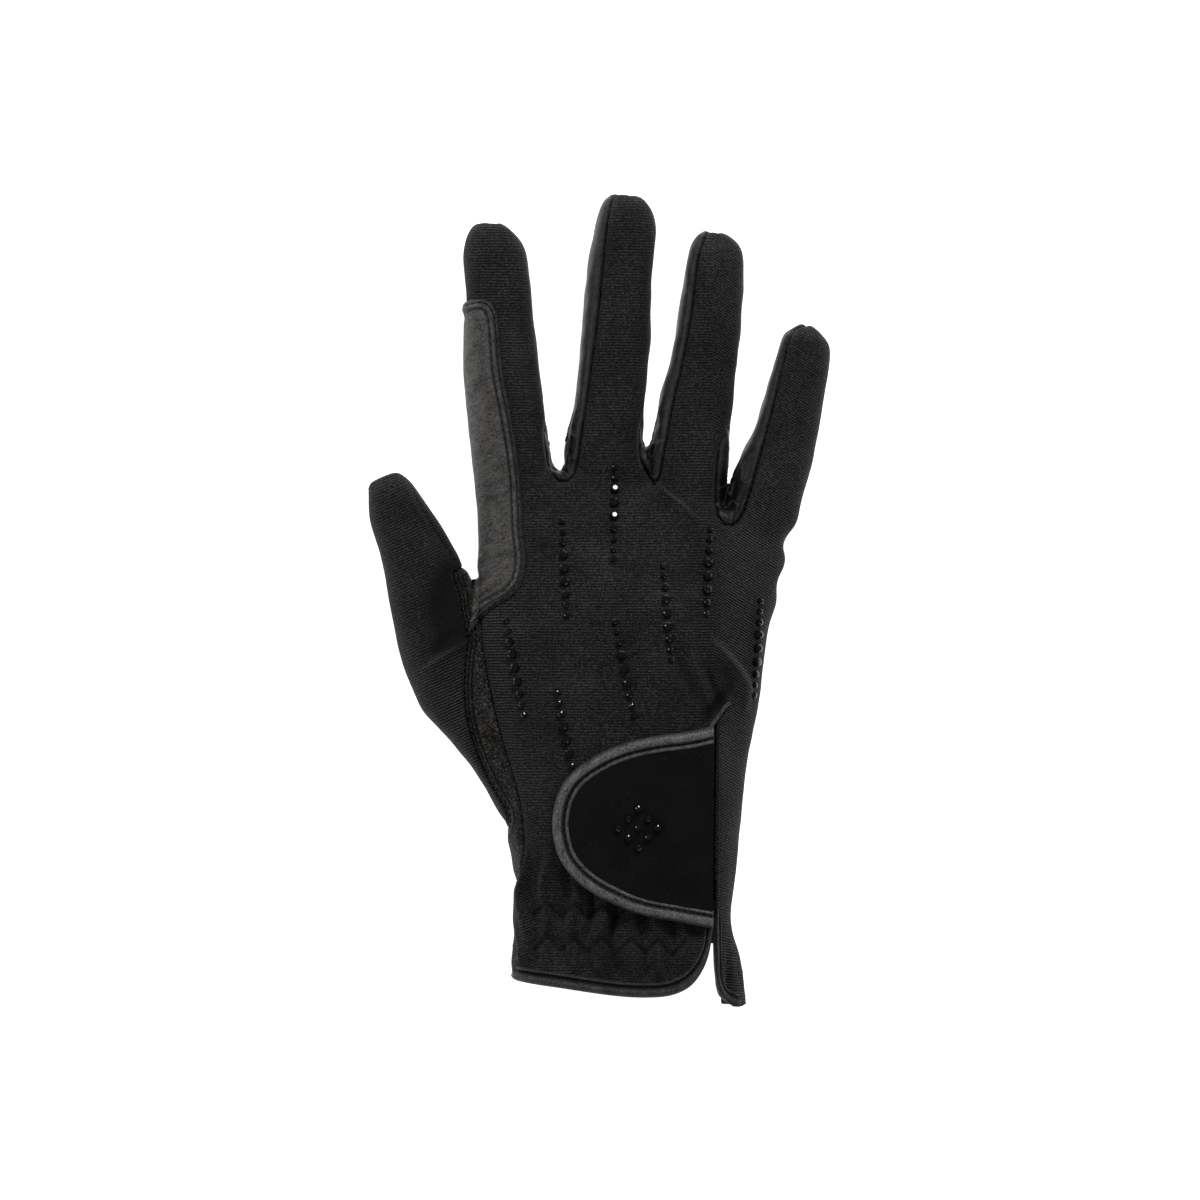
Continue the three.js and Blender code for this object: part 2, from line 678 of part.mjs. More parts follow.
// A row moved along the hand so that its last stone stays clear of the tab's upper edge.
function aboveTab(stones) {
  const last = stones.at(-1);
  const radius = stoneSizes[last.size] / 2;
  const move = tabEdgeAt(last.x) + stoneToTab + radius - last.y;
  return stones.map((place) => ({ ...place, y: place.y + move }));
}

// The tab carries a plain lozenge of stones, lozengeSide of them along each side.
const lozengeSide = 3;
const lozengeStep = 2.8;
const lozengeIndexes = [...Array(lozengeSide).keys()];
const lozengeStones = lozengeIndexes.flatMap((i) =>
  lozengeIndexes.map((j) => ({
    x: tabStart - 0.47 * tabLength + (i - j) * lozengeStep,
    y: tabMiddle - 0.02 * tabWidth + (lozengeSide - 1 - i - j) * lozengeStep,
    size: "medium",
  })),
);
const lozengeLines = [
  ...lozengeIndexes.map((i) => lozengeIndexes.map((j) => i * lozengeSide + j)),
  lozengeIndexes.map((i) => i * lozengeSide),
];

// Assembly

const cloth = { color: 0x1b1a1a, roughness: 0.85, metalness: 0 };
const leather = { color: 0x27272a, roughness: 0.55, metalness: 0 };
const bindingLeather = { color: 0x2c2c31, roughness: 0.5, metalness: 0 };
const suede = { color: 0x0e0d0e, roughness: 0.95, metalness: 0 };
const crystal = { color: 0x0a0a0c, roughness: 0.08, metalness: 0.2 };

const glove = new THREE.Group();

function addPiece(name, solid, finish) {
  const material = new THREE.MeshStandardMaterial(finish);
  const piece = new THREE.Mesh(geometryOf(solid.simplify(detail)), material);
  piece.name = name;
  glove.add(piece);
}

addPiece("back_panel", backPanel, cloth);
addPiece("palm_panel", palmPanel, leather);
addPiece("thumb_back", thumbBack, cloth);
addPiece("side_strip", sideStrip, leather);
fingerGaps.forEach((gap, i) => addPiece(gap.name, fourchettes[i], leather));
addPiece("index_patch", indexPatch, leather);
addPiece("cuff_binding", cuffBinding, bindingLeather);
addPiece("flap_binding", flapBinding, bindingLeather);
addPiece("palm_binding", palmBinding, bindingLeather);
addPiece("closure_tab", closureTab, suede);
addPiece("tab_binding", tabBinding, bindingLeather);

const backSurface = flatSurface(outerForm);
stoneRows.forEach((row, i) => {
  const endsAtTab = i === stoneRows.length - 1;
  const stones = endsAtTab ? aboveTab(rowStones(row)) : rowStones(row);
  const line = stones.map((_, n) => n);
  addPiece(`stone_row_${i + 1}`, stoneField(backSurface, stones, [line]), crystal);
});

const tabSurface = flatSurface(closureTab);
addPiece("tab_stones", stoneField(tabSurface, lozengeStones, lozengeLines), crystal);

export default glove;
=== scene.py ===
import math

import bpy
import numpy as np
from mathutils import Matrix, Vector, noise
from mathutils.bvhtree import BVHTree


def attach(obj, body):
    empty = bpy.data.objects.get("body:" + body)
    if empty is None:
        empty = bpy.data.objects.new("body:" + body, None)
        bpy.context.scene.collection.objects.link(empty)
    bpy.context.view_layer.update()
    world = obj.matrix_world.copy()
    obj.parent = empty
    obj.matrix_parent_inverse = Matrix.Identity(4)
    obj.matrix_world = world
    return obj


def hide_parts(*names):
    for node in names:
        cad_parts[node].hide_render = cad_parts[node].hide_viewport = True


# A riding glove for the right hand, dressed on its CAD frame. Lengths in the dictionaries are
# millimetres, +X to the little finger, +Y to the fingertips, +Z up out of the back of the hand.

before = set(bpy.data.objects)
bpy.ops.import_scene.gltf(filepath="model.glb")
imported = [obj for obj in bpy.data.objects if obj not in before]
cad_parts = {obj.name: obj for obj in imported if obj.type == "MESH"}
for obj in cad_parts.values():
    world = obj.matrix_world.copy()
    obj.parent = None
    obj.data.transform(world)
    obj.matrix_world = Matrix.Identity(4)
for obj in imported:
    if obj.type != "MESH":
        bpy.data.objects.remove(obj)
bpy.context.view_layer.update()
bpy.ops.object.select_all(action="DESELECT")
mm = 0.001
noise.seed_set(1)  # the tilts of the stones come out the same each run

# The hand, in sections from the cuff up to the fingers' roots
hand = {
    "width": 85.0,
    "length": 140.0,
    "thickness": 28.0,
    "knuckleSlope": 0.22,
    "fullness": 2.5,
    "widest": 0.44,  # height of a section's widest point, in shares of its top
    "sink": 0.12,  # how far a section would reach below the table
    "rings": 70,
    "around": 96,
    "voxel": 0.78,
    "tableSoftness": 0.9,
    "sections": [  # up, left, right, top, slope
        [-0.72, 0.368, 0.43, 0.8, 0],
        [-0.635, 0.368, 0.416, 0.8, 0],
        [-0.583, 0.372, 0.402, 0.8, 0],
        [-0.55, 0.364, 0.387, 0.76, 0],
        [-0.51, 0.361, 0.378, 0.78, 0],
        [-0.45, 0.361, 0.389, 0.83, 0],
        [-0.352, 0.382, 0.406, 0.92, 0],
        [-0.186, 0.443, 0.437, 1.0, 0],
        [-0.062, 0.488, 0.474, 1.01, 0],
        [0.062, 0.505, 0.498, 0.98, 0],
        [0.15, 0.484, 0.522, 0.92, 0.25],
        [0.225, 0.474, 0.54, 0.83, 0.6],
        [0.31, 0.478, 0.565, 0.72, 0.9],
        [0.382, 0.465, 0.585, 0.6, 1],
    ],
}
digits = {  # root across and up in shares of the palm, then lengths and the lean from +Y in degrees
    "index": {"across": -0.341, "up": 0.229, "length": 98.4, "lean": -5.2, "width": 22, "thickness": 17},
    "middle": {"across": -0.075, "up": 0.229, "length": 106.4, "lean": 4.2, "width": 21, "thickness": 17},
    "ring": {"across": 0.171, "up": 0.186, "length": 102.6, "lean": 7.1, "width": 20, "thickness": 16},
    "little": {"across": 0.402, "up": 0.145, "length": 83, "lean": 14.6, "width": 18.5, "thickness": 15},
    "thumb": {"across": -0.341, "up": -0.331, "length": 109.8, "lean": -20.4, "width": 24, "thickness": 18},
}
digitForm = {"fullness": 2.4, "rings": 40, "around": 48, "tipStart": 0.88, "tipLength": 0.12,
             "tipRings": 18, "blunt": 0.08}
digitSections = {  # along, left, right, top, plump
    "index": [
        [0.0, 0.2, 0.3, 0.8, 0.85], [0.16, 0.46, 0.5, 0.98, 1], [0.3, 0.47, 0.53, 1.02, 1],
        [0.55, 0.47, 0.49, 0.98, 1], [0.74, 0.415, 0.465, 0.95, 1], [0.9, 0.395, 0.45, 0.92, 1],
        [0.95, 0.35, 0.365, 0.9, 0.87], [0.98, 0.28, 0.26, 0.9, 0.68], [1.0, 0.21, 0.12, 0.9, 0.36],
    ],
    "middle": [
        [0.0, 0.5, 0.6, 0.85, 0.9], [0.27, 0.565, 0.6, 1.0, 1], [0.335, 0.56, 0.505, 1.02, 1],
        [0.42, 0.49, 0.505, 1.02, 1], [0.8, 0.435, 0.48, 0.94, 1], [0.9, 0.38, 0.475, 0.92, 1],
        [0.95, 0.335, 0.415, 0.91, 0.88], [0.98, 0.275, 0.315, 0.9, 0.66], [1.0, 0.17, 0.21, 0.9, 0.36],
    ],
    "ring": [
        [0.0, 0.6, 0.55, 0.85, 0.9], [0.34, 0.58, 0.63, 1.03, 1], [0.4, 0.495, 0.61, 1.03, 1],
        [0.5, 0.495, 0.61, 1.02, 1], [0.6, 0.4, 0.585, 0.98, 1], [0.8, 0.35, 0.565, 0.94, 1],
        [0.93, 0.34, 0.51, 0.92, 0.95], [0.975, 0.26, 0.38, 0.9, 0.7], [1.0, 0.13, 0.13, 0.9, 0.34],
    ],
    "little": [
        [0.0, 0.25, 0.2, 0.8, 0.85], [0.2, 0.52, 0.46, 1.02, 1], [0.32, 0.57, 0.545, 1.05, 1],
        [0.5, 0.52, 0.595, 1.02, 1], [0.6, 0.425, 0.575, 0.99, 1], [0.88, 0.39, 0.475, 0.92, 1],
        [0.94, 0.36, 0.41, 0.91, 0.92], [0.98, 0.2, 0.2, 0.9, 0.55], [1.0, 0.09, 0.0, 0.9, 0.26],
    ],
    "thumb": [
        [-0.1, 0.0, 0.35, 0.7, 0.5], [0.1, 0.2, 0.5, 1.12, 1], [0.2, 0.29, 0.55, 1.18, 1],
        [0.3, 0.455, 0.6, 1.18, 1], [0.4, 0.63, 0.6, 1.15, 1], [0.5, 0.63, 0.58, 1.1, 1],
        [0.7, 0.52, 0.49, 1.0, 1], [0.8, 0.44, 0.4, 0.94, 1], [0.9, 0.41, 0.3, 0.88, 1],
        [0.96, 0.335, 0.23, 0.83, 0.93], [1.0, 0.27, 0.12, 0.76, 0.6],
    ],
}


def onHand(across, up):
    return np.array([across * hand["width"], up * hand["length"]])


def onDigit(name, along, side):
    digit = digits[name]
    lean = math.radians(digit["lean"])
    axis = np.array([math.sin(lean), math.cos(lean)])
    cross = np.array([axis[1], -axis[0]])
    root = onHand(digit["across"], digit["up"])
    return root + axis * (along * digit["length"]) + cross * (side * digit["width"])


def hermite(x, y, at, monotone):
    x, y, at = np.asarray(x, float), np.asarray(y, float), np.asarray(at, float)
    gap = np.diff(x)[:, None]
    slope = np.diff(y, axis=0) / gap
    tangent = np.empty_like(y)
    tangent[0], tangent[-1] = slope[0], slope[-1]
    low, high = slope[:-1], slope[1:]
    if monotone:
        total = np.where(np.abs(low + high) < 1e-12, 1.0, low + high)
        tangent[1:-1] = np.where(low * high > 0, 2 * low * high / total, 0)
    else:
        tangent[1:-1] = (y[2:] - y[:-2]) / (x[2:] - x[:-2])[:, None]
    i = np.clip(np.searchsorted(x, at, side="right") - 1, 0, len(x) - 2)
    h = gap[i]
    t = ((at - x[i]) / h[:, 0])[:, None]
    start = (1 + 2 * t) * (1 - t) ** 2 * y[i] + t * (1 - t) ** 2 * h * tangent[i]
    return start + t * t * (3 - 2 * t) * y[i + 1] + t * t * (t - 1) * h * tangent[i + 1]


def smoothLine(points, step=1.0):  # an even curve through a few points
    points = np.array(points, float)
    far = np.concatenate([[0], np.cumsum(np.linalg.norm(np.diff(points, axis=0), axis=1))])
    dense = hermite(far, points, np.linspace(0, far[-1], int(far[-1] / 0.1) + 2), False)
    length = np.concatenate([[0], np.cumsum(np.linalg.norm(np.diff(dense, axis=0), axis=1))])
    count = max(2, int(round(length[-1] / step)) + 1)
    at = np.linspace(0, length[-1], count)
    return np.stack([np.interp(at, length, dense[:, k]) for k in range(dense.shape[1])], axis=1)


def ringAt(left, right, middle, top, bottom, fullness, count):
    angle = -2 * np.pi * np.arange(count) / count
    power = 2 / fullness
    c, s = np.cos(angle), np.sin(angle)
    across = np.sign(c) * np.abs(c) ** power * np.where(c >= 0, right, left)
    rise = np.sign(s) * np.abs(s) ** power * np.where(s >= 0, top - middle, middle - bottom)
    return across, middle + rise


def tube(rings):  # a closed mesh through rings of points
    count = len(rings[0])
    verts = np.concatenate(rings)
    quads = [
        (r * count + i, r * count + (i + 1) % count, (r + 1) * count + (i + 1) % count, (r + 1) * count + i)
        for r in range(len(rings) - 1)
        for i in range(count)
    ]
    last = (len(rings) - 1) * count
    return verts, [*quads, tuple(range(count))[::-1], tuple(last + i for i in range(count))]


def digitMesh(name):
    digit = digits[name]
    rows = np.array(digitSections[name])
    start, length = digitForm["tipStart"], digitForm["tipLength"]
    turn = np.linspace(digitForm["blunt"], np.pi / 2, digitForm["tipRings"])
    at = np.concatenate([np.linspace(rows[0, 0], start, digitForm["rings"]), start + length * np.sin(turn)])
    rings = []
    for along, (left, right, top, plump) in zip(at, hermite(rows[:, 0], rows[:, 1:], at, True)):
        middle = hand["widest"] * digit["thickness"] * top
        high = middle + (1 - hand["widest"]) * digit["thickness"] * top * plump
        low = middle - (hand["widest"] + hand["sink"]) * digit["thickness"] * top * plump
        across, z = ringAt(left, right, middle, high, low, digitForm["fullness"], digitForm["around"])
        rings.append([[*onDigit(name, along, side), rise] for side, rise in zip(across, z)])
    return tube(np.array(rings))


def handMesh():
    rows = np.array(hand["sections"])
    at = np.linspace(rows[0, 0], rows[-1, 0], hand["rings"])
    rings = []
    for up, (left, right, top, slope) in zip(at, hermite(rows[:, 0], rows[:, 1:], at, True)):
        middle = hand["widest"] * hand["thickness"] * top
        x, z = ringAt(
            left * hand["width"], right * hand["width"], middle, hand["thickness"] * top,
            -hand["sink"] * hand["thickness"] * top, hand["fullness"], hand["around"],
        )
        y = up * hand["length"] - x * hand["knuckleSlope"] * slope
        rings.append(np.stack([x, y, z], axis=1))
    return tube(np.array(rings))


class Cloth:  # triangles with named values at their points
    def __init__(self, points, triangles, values=None):
        self.points, self.triangles, self.values = points, triangles, dict(values or {})

    def normals(self):
        corner = self.points[self.triangles]
        face = np.cross(corner[:, 1] - corner[:, 0], corner[:, 2] - corner[:, 0])
        total = np.zeros_like(self.points)
        for k in range(3):
            for axis in range(3):
                total[:, axis] += np.bincount(self.triangles[:, k], face[:, axis], len(self.points))
        return total / np.maximum(np.linalg.norm(total, axis=1), 1e-9)[:, None]

    def edges(self):
        pairs = np.concatenate([self.triangles[:, ends] for ends in ([0, 1], [1, 2], [2, 0])])
        return np.unique(np.sort(pairs), axis=0)

    def tree(self):
        return BVHTree.FromPolygons(self.points.tolist(), self.triangles.tolist())

    def relax(self, rounds, weight):
        pairs = self.edges()
        count = np.bincount(pairs.ravel(), minlength=len(self.points)).astype(float)
        weight = np.broadcast_to(np.asarray(weight, float), len(self.points))[:, None]
        for _ in range(rounds):
            total = np.zeros_like(self.points)
            for axis in range(3):
                total[:, axis] = np.bincount(pairs[:, 0], self.points[pairs[:, 1], axis], len(self.points))
                total[:, axis] += np.bincount(pairs[:, 1], self.points[pairs[:, 0], axis], len(self.points))
            self.points = self.points + weight * (total / count[:, None] - self.points)

    def take(self, triangles):
        used = np.unique(triangles)
        place = np.full(len(self.points), -1)
        place[used] = np.arange(len(used))
        return Cloth(self.points[used], place[triangles], {k: v[used] for k, v in self.values.items()})

    def cut(self, field):  # keeps what is above 0 and follows the line of 0 exactly
        field = np.where(np.abs(field) < 1e-6, 1e-6, field)
        inside = field > 0
        number = inside[self.triangles].sum(axis=1)
        kept = [self.triangles[number == 3]]
        pairs, points, values = {}, [], {k: [] for k in self.values}

        def crossing(a, b):
            key = (a, b) if a < b else (b, a)
            if key not in pairs:
                share = field[key[0]] / (field[key[0]] - field[key[1]])
                pairs[key] = len(self.points) + len(points)
                points.append(self.points[key[0]] * (1 - share) + self.points[key[1]] * share)
                for k, v in self.values.items():
                    values[k].append(v[key[0]] * (1 - share) + v[key[1]] * share)
            return pairs[key]

        new = []
        for wanted in (1, 2):
            for tri in self.triangles[number == wanted]:
                odd = next(i for i in range(3) if inside[tri[i]] == (wanted == 1))
                a, b, c = (int(tri[(odd + k) % 3]) for k in range(3))
                p, q = crossing(a, b), crossing(a, c)
                new += [(a, p, q)] if wanted == 1 else [(p, b, c), (p, c, q)]
        merged = Cloth(
            np.concatenate([self.points, np.array(points).reshape(-1, 3)]),
            np.concatenate([*kept, np.array(new, int).reshape(-1, 3)]),
            {k: np.concatenate([v, np.array(values[k])]) for k, v in self.values.items()},
        )
        return merged.take(merged.triangles)

    def refined(self):
        pairs = self.edges()
        lookup = {(int(a), int(b)): len(self.points) + i for i, (a, b) in enumerate(pairs)}
        middle = lambda v: (v[pairs[:, 0]] + v[pairs[:, 1]]) / 2
        new = []
        for a, b, c in self.triangles.tolist():
            ab, bc, ca = (lookup[(min(p), max(p))] for p in ((a, b), (b, c), (c, a)))
            new += [(a, ab, ca), (ab, b, bc), (ca, bc, c), (ab, bc, ca)]
        values = {k: np.concatenate([v, middle(v)]) for k, v in self.values.items()}
        return Cloth(np.concatenate([self.points, middle(self.points)]), np.array(new), values)


def meshPiece(name, points, faces, values=None):
    data = bpy.data.meshes.new(name)
    data.from_pydata((np.asarray(points, float) * mm).tolist(), [], [list(map(int, f)) for f in faces])
    for key, value in (values or {}).items():
        data.attributes.new(key, "FLOAT", "POINT").data.foreach_set("value", np.asarray(value, np.float32))
    data.polygons.foreach_set("use_smooth", [True] * len(data.polygons))
    piece = bpy.data.objects.new(name, data)
    bpy.context.scene.collection.objects.link(piece)
    return piece


def applied(piece, kind, **settings):
    modifier = piece.modifiers.new(kind, kind)
    for key, value in settings.items():
        setattr(modifier, key, value)
    bpy.context.view_layer.objects.active = piece
    bpy.ops.object.modifier_apply(modifier=modifier.name)
    return piece


def edited(piece, step):  # one step in edit mode, on the whole piece
    bpy.ops.object.select_all(action="DESELECT")
    piece.select_set(True)
    bpy.context.view_layer.objects.active = piece
    bpy.ops.object.mode_set(mode="EDIT")
    bpy.ops.mesh.select_all(action="SELECT")
    step()
    bpy.ops.object.mode_set(mode="OBJECT")
    piece.select_set(False)


def joined(parts):  # several sets of points and faces as one
    points, faces, count = [], [], 0
    for some, rings in parts:
        points.append(some)
        faces += [[count + i for i in ring] for ring in rings]
        count += len(some)
    return np.concatenate(points), faces


def template(made):  # a modelled piece as points and faces that can be copied
    points = np.array([v.co[:] for v in made.data.vertices])
    faces = [list(p.vertices) for p in made.data.polygons]
    bpy.data.objects.remove(made)
    return points, faces


def bell(far, width):
    return np.exp(-((far / width) ** 2))


def noiseAt(points, place):  # the noise that each point meets where place() puts it
    return np.array([noise.noise(Vector(place(p))) for p in points.tolist()])


def distanceTo(points, line, closed=False):  # the distance from each point to a line, and how far along it
    best = np.full(len(points), 1e9)
    along = np.zeros(len(points))
    inside = np.zeros(len(points), bool)
    start = 0.0
    ends = np.roll(line, -1, axis=0) if closed else line[1:]
    x, y = points[:, 0], points[:, 1]
    for a, b in zip(line, ends):
        edge = b - a
        length = max(float(np.hypot(*edge)), 1e-9)
        share = np.clip(((x - a[0]) * edge[0] + (y - a[1]) * edge[1]) / length**2, 0, 1)
        far = (x - a[0] - share * edge[0]) ** 2 + (y - a[1] - share * edge[1]) ** 2
        near = far < best
        best = np.where(near, far, best)
        along = np.where(near, start + share * length, along)
        if closed and a[1] != b[1]:
            inside ^= ((a[1] > y) != (b[1] > y)) & (x < edge[0] * (y - a[1]) / edge[1] + a[0])
        start += length
    best = np.sqrt(best)
    return (np.where(inside, best, -best) if closed else best), along


def away(points, line, closed=False):
    return distanceTo(points, line, closed)[0]


# Seams and hems in shares of the hand, or of a digit's length and width
lines = {
    "nearSeams": {
        "middle": [[0.205, -0.52], [0.222, -0.44], [0.262, -0.39], [0.377, -0.35], [0.515, -0.3],
                   [0.68, -0.25], [0.926, -0.22], [1.03, -0.14]],
        "ring": [[0.262, -0.42], [0.282, -0.35], [0.348, -0.33], [0.506, -0.28], [0.593, -0.23],
                 [0.765, -0.18], [0.921, -0.18], [1.03, -0.05]],
        "little": [[0.246, -0.5], [0.248, -0.39], [0.273, -0.29], [0.347, -0.25], [0.636, -0.24],
                   [0.887, -0.27], [0.949, -0.25], [1.04, -0.1]],
    },
    "farEdges": {
        "index": [[1.08, 0.66], [0.46, 0.66], [0.373, 0.51], [0.314, 0.5], [0.25, 0.53], [0.222, 0.6]],
        "middle": [[1.08, 0.66], [0.45, 0.62], [0.363, 0.48], [0.295, 0.49], [0.235, 0.6]],
        "ring": [[1.08, 0.74], [0.5, 0.7], [0.4, 0.5], [0.297, 0.49], [0.2, 0.56]],
        "little": [[1.1, 0.8], [0.5, 0.8], [0.2, 0.8]],
    },
    "stripSeam": [[-0.43, -0.5], [-0.385, -0.455], [-0.352, -0.425], [-0.331, -0.375], [-0.345, -0.27],
                  [-0.399, -0.155], [-0.437, -0.062], [-0.464, 0.021], [-0.478, 0.093], [-0.478, 0.145],
                  [-0.481, 0.197], [-0.53, 0.228]],
    "stripEnd": 0.55,  # how far below the knuckles it may reach
    "stripSide": -0.2,
    "thumbSeam": [[-0.4, -0.346], [-0.386, -0.3], [-0.43, -0.249], [-0.471, -0.197], [-0.508, -0.135],
                  [-0.529, -0.062], [-0.526, 0.021], [-0.516, 0.069], [-0.534, 0.106], [-0.547, 0.16],
                  [-0.565, 0.201], [-0.53, 0.216]],
    "cuffEdge": [[-0.46, -0.62], [-0.359, -0.64], [-0.205, -0.654], [0.0, -0.671], [0.12, -0.673],
                 [0.19, -0.666], [0.245, -0.647], [0.286, -0.61], [0.307, -0.565], [0.315, -0.49],
                 [0.321, -0.11]],
    "vent": 0.321,
    "ventTop": [0.345, -0.068],
    "ventWidth": 0.6,
    "flapEdge": [[0.321, -0.11], [0.315, -0.49], [0.317, -0.58], [0.32, -0.632], [0.333, -0.664],
                 [0.358, -0.685], [0.392, -0.694], [0.47, -0.688]],
    "palmHem": [[-0.46, -0.615], [-0.2, -0.612], [0.2, -0.585], [0.3, -0.568], [0.36, -0.572],
                [0.4, -0.62], [0.52, -0.66]],
    "palmSeam": 3.2,  # heights above the table and widths, from here on in mm
    "fourchetteSide": 8.0,
    "seamGap": 0.16,
    "hemInset": 1.0,
}
fingerGaps = [
    {"near": "index", "far": "middle", "nearStart": 0.165, "farStart": 0.15},
    {"near": "middle", "far": "ring", "nearStart": 0.105, "farStart": 0.165},
    {"near": "ring", "far": "little", "nearStart": 0.11, "farStart": 0.21},
]


def handLine(rows):
    return smoothLine([onHand(*row) for row in rows])


def digitLine(name, rows):
    return smoothLine([onDigit(name, *row) for row in rows])


stripLine = handLine(lines["stripSeam"])
thumbLine = handLine(lines["thumbSeam"])
cuffLine = handLine(lines["cuffEdge"])
flapLine = handLine(lines["flapEdge"]) + [lines["ventWidth"], 0]
palmLine = handLine(lines["palmHem"])
nearLines = {name: digitLine(name, rows) for name, rows in lines["nearSeams"].items()}
farLines = {name: digitLine(name, rows) for name, rows in lines["farEdges"].items()}

backOutline = np.concatenate([
    stripLine,
    [onDigit("index", 0.3, -0.8), onDigit("index", 1.08, -0.8)],
    farLines["index"], nearLines["middle"], farLines["middle"], nearLines["ring"], farLines["ring"],
    nearLines["little"], farLines["little"],
    [onHand(0.72, 0.12), onHand(0.6, -0.2), onHand(0.6, -0.68)],
    flapLine[::-1], [onHand(*lines["ventTop"])], cuffLine[::-1],
])
thumbOutline = np.concatenate([
    thumbLine,
    [onDigit("thumb", along, side) for along, side in ((0.75, 0.75), (1.12, 0.75), (1.12, -1), (-0.05, -1))],
])
gapOutlines = [
    np.array([
        onDigit(gap["near"], gap["nearStart"], 0.05), onDigit(gap["near"], 1.1, 0.05),
        onDigit(gap["far"], 1.1, -0.04), onDigit(gap["far"], gap["farStart"], -0.04),
    ])
    for gap in fingerGaps
]

# The form of the glove: the hand and its digits melt into one skin
formPoints, formFaces = joined([handMesh(), *[digitMesh(name) for name in digits]])
form = meshPiece("gloveForm", formPoints, formFaces)
applied(form, "REMESH", mode="VOXEL", voxel_size=hand["voxel"] * mm, adaptivity=0)
points = np.empty(len(form.data.vertices) * 3)
form.data.vertices.foreach_get("co", points)
points = points.reshape(-1, 3) / mm
quads = np.empty(len(form.data.polygons) * 4, int)
form.data.polygons.foreach_get("vertices", quads)
quads = quads.reshape(-1, 4)
bpy.data.objects.remove(form)
skin = Cloth(points, np.concatenate([quads[:, [0, 1, 2]], quads[:, [0, 2, 3]]]))
skin.relax(8, 0.5)
print("form", len(skin.points), "points")

# The rows of stitching that gather the cuff
zigzag = {"rows": [-69.6, -79.4], "from": -25.0, "to": 23.0, "step": 4.0, "height": 4.0, "slope": 0.03,
          "waver": 0.8, "sewn": 0.9, "depth": 0.45, "width": 1.1}
zigzagLines = []
for row in zigzag["rows"]:
    turns = []
    for i, px in enumerate(np.arange(zigzag["from"], zigzag["to"], zigzag["step"])):
        py = row - zigzag["slope"] * px + zigzag["height"] * ((i % 2) - 0.5)
        waver = zigzag["waver"] * noise.noise(Vector((px, row, 9)))
        turns.append(np.array([px + noise.noise(Vector((px, row, 3))), py + waver]))
    share = np.linspace(0, zigzag["sewn"], 10)[:, None]
    zigzagLines.append(np.concatenate([a + (b - a) * share for a, b in zip(turns, turns[1:])]))


def fromZigzag(points):
    return np.min([away(points, line) for line in zigzagLines], axis=0)


thumbSide = [[-60.2, 52.2], [-55.3, 43.5], [-46.8, 30.4]]
# Folds: a line on the hand in mm, how far it stands out and its width
folds = [
    [[[10.2, 53.9], [15.1, 50.2], [23.2, 43.5]], 1.1, 0.75],
    [[[9.5, 50.5], [14.5, 47.0], [22, 40.5]], -0.5, 2.2],
    [[[26.4, 9.0], [30.2, 5.5], [33.4, 1.7], [36.0, -2.3], [37.1, -6.1], [36.0, -11.3]], 1.6, 1.0],
    [[[28.0, 2.5], [31.5, -1.0], [33.0, -6.5]], -1.2, 2.2],
    [[[25.8, -13.3], [23.2, -8.7], [18.9, -0.9], [15.1, 5.8]], -1.0, 1.5],
    [[[28.7, -8.1], [26.7, -2.9], [24.7, 1.5]], -1.4, 1.4],
    [[[27.0, -12.2], [23.8, -4.4], [21.0, 4.4], [20.3, 12.0]], 0.45, 1.2],
    [[[23.2, -12.2], [18.9, -5.8], [13.9, 2.9], [11.5, 10.0]], 0.35, 1.8],
    [[[31.2, -6.4], [28.8, -9.0], [26.8, -11.8], [24.8, -14.8]], -2.6, 1.8],
    [thumbSide, -0.6, 1.1],
    [[[-43.5, 8.1], [-49.3, 5.2], [-56.5, 0.0]], 1.3, 0.9],
    [[[-44.1, 11.6], [-49.3, 8.7], [-55.1, 4.4]], -1.2, 2.2],
    [[[-49.0, 27.6], [-50.5, 18.3], [-47.5, 9.2]], -2.0, 4.2],
    [[[-34.0, 27.0], [-37.5, 24.0], [-41.0, 21.5]], 0.6, 1.0],
    [[[-33.0, 31.0], [-37.0, 28.5], [-41.5, 27.5]], 0.5, 1.0],
    [[[-36.0, 36.0], [-38.0, 33.0], [-41.5, 31.0]], 0.4, 0.9],
]
bumps = [  # centre, how far it stands out, its radius
    [[50.8, 43.5, 9], 1.2, 4.5],
    [[47.8, 36.8, 9], -1.1, 3.0],
    [[46.0, 31.5, 9], 0.9, 4.0],
    [[44.8, 25.5, 9], -0.8, 3.0],
    [[44.5, 19.3, 9], 0.8, 4.5],
]
gathers = {"start": -50.0, "rise": 12, "height": 1.35, "period": 8.0, "phase": -21.0, "drift": 3.0,
           "uneven": 1.2, "second": 0.4, "hem": 4.2, "hemFade": 3}
wearAndCrestHighlight = {"soft": 0.55, "softScale": 0.055, "fine": 0.16, "fineScale": 0.16}  # the softness of worn cloth

normal = skin.normals()
x, y, z = skin.points.T
onTop = np.clip((normal[:, 2] - 0.05) * 2.5, 0, 1)
lift = np.zeros(len(skin.points))
crest = np.zeros(len(skin.points))
for line, height, width in folds:
    line = smoothLine(line, 0.8)
    far, along = distanceTo(skin.points, line)
    length = float(np.linalg.norm(np.diff(line, axis=0), axis=1).sum())
    taper = np.sin(np.pi * np.clip(0.12 + 0.76 * along / length, 0, 1))
    lift += onTop * height * taper * bell(far, width)
    # each fold also sets crest, which the cloth turns into a painted highlight along raised folds and painted
    # shade along sunken ones
    crest += np.clip(height / 2, -1, 1) * taper * bell(far, width * (0.7 if height > 0 else 1.0))
for centre, height, radius in bumps:
    lift += height * bell(np.linalg.norm(skin.points - centre, axis=1), radius)
drift = noiseAt(skin.points, lambda p: (p[0] * 0.09, p[1] * 0.07, 5))
vary = noiseAt(skin.points, lambda p: (p[0] * 0.13, p[1] * 0.03, 8))
wave = 2 * np.pi * (x - gathers["phase"] + gathers["drift"] * drift) / gathers["period"]
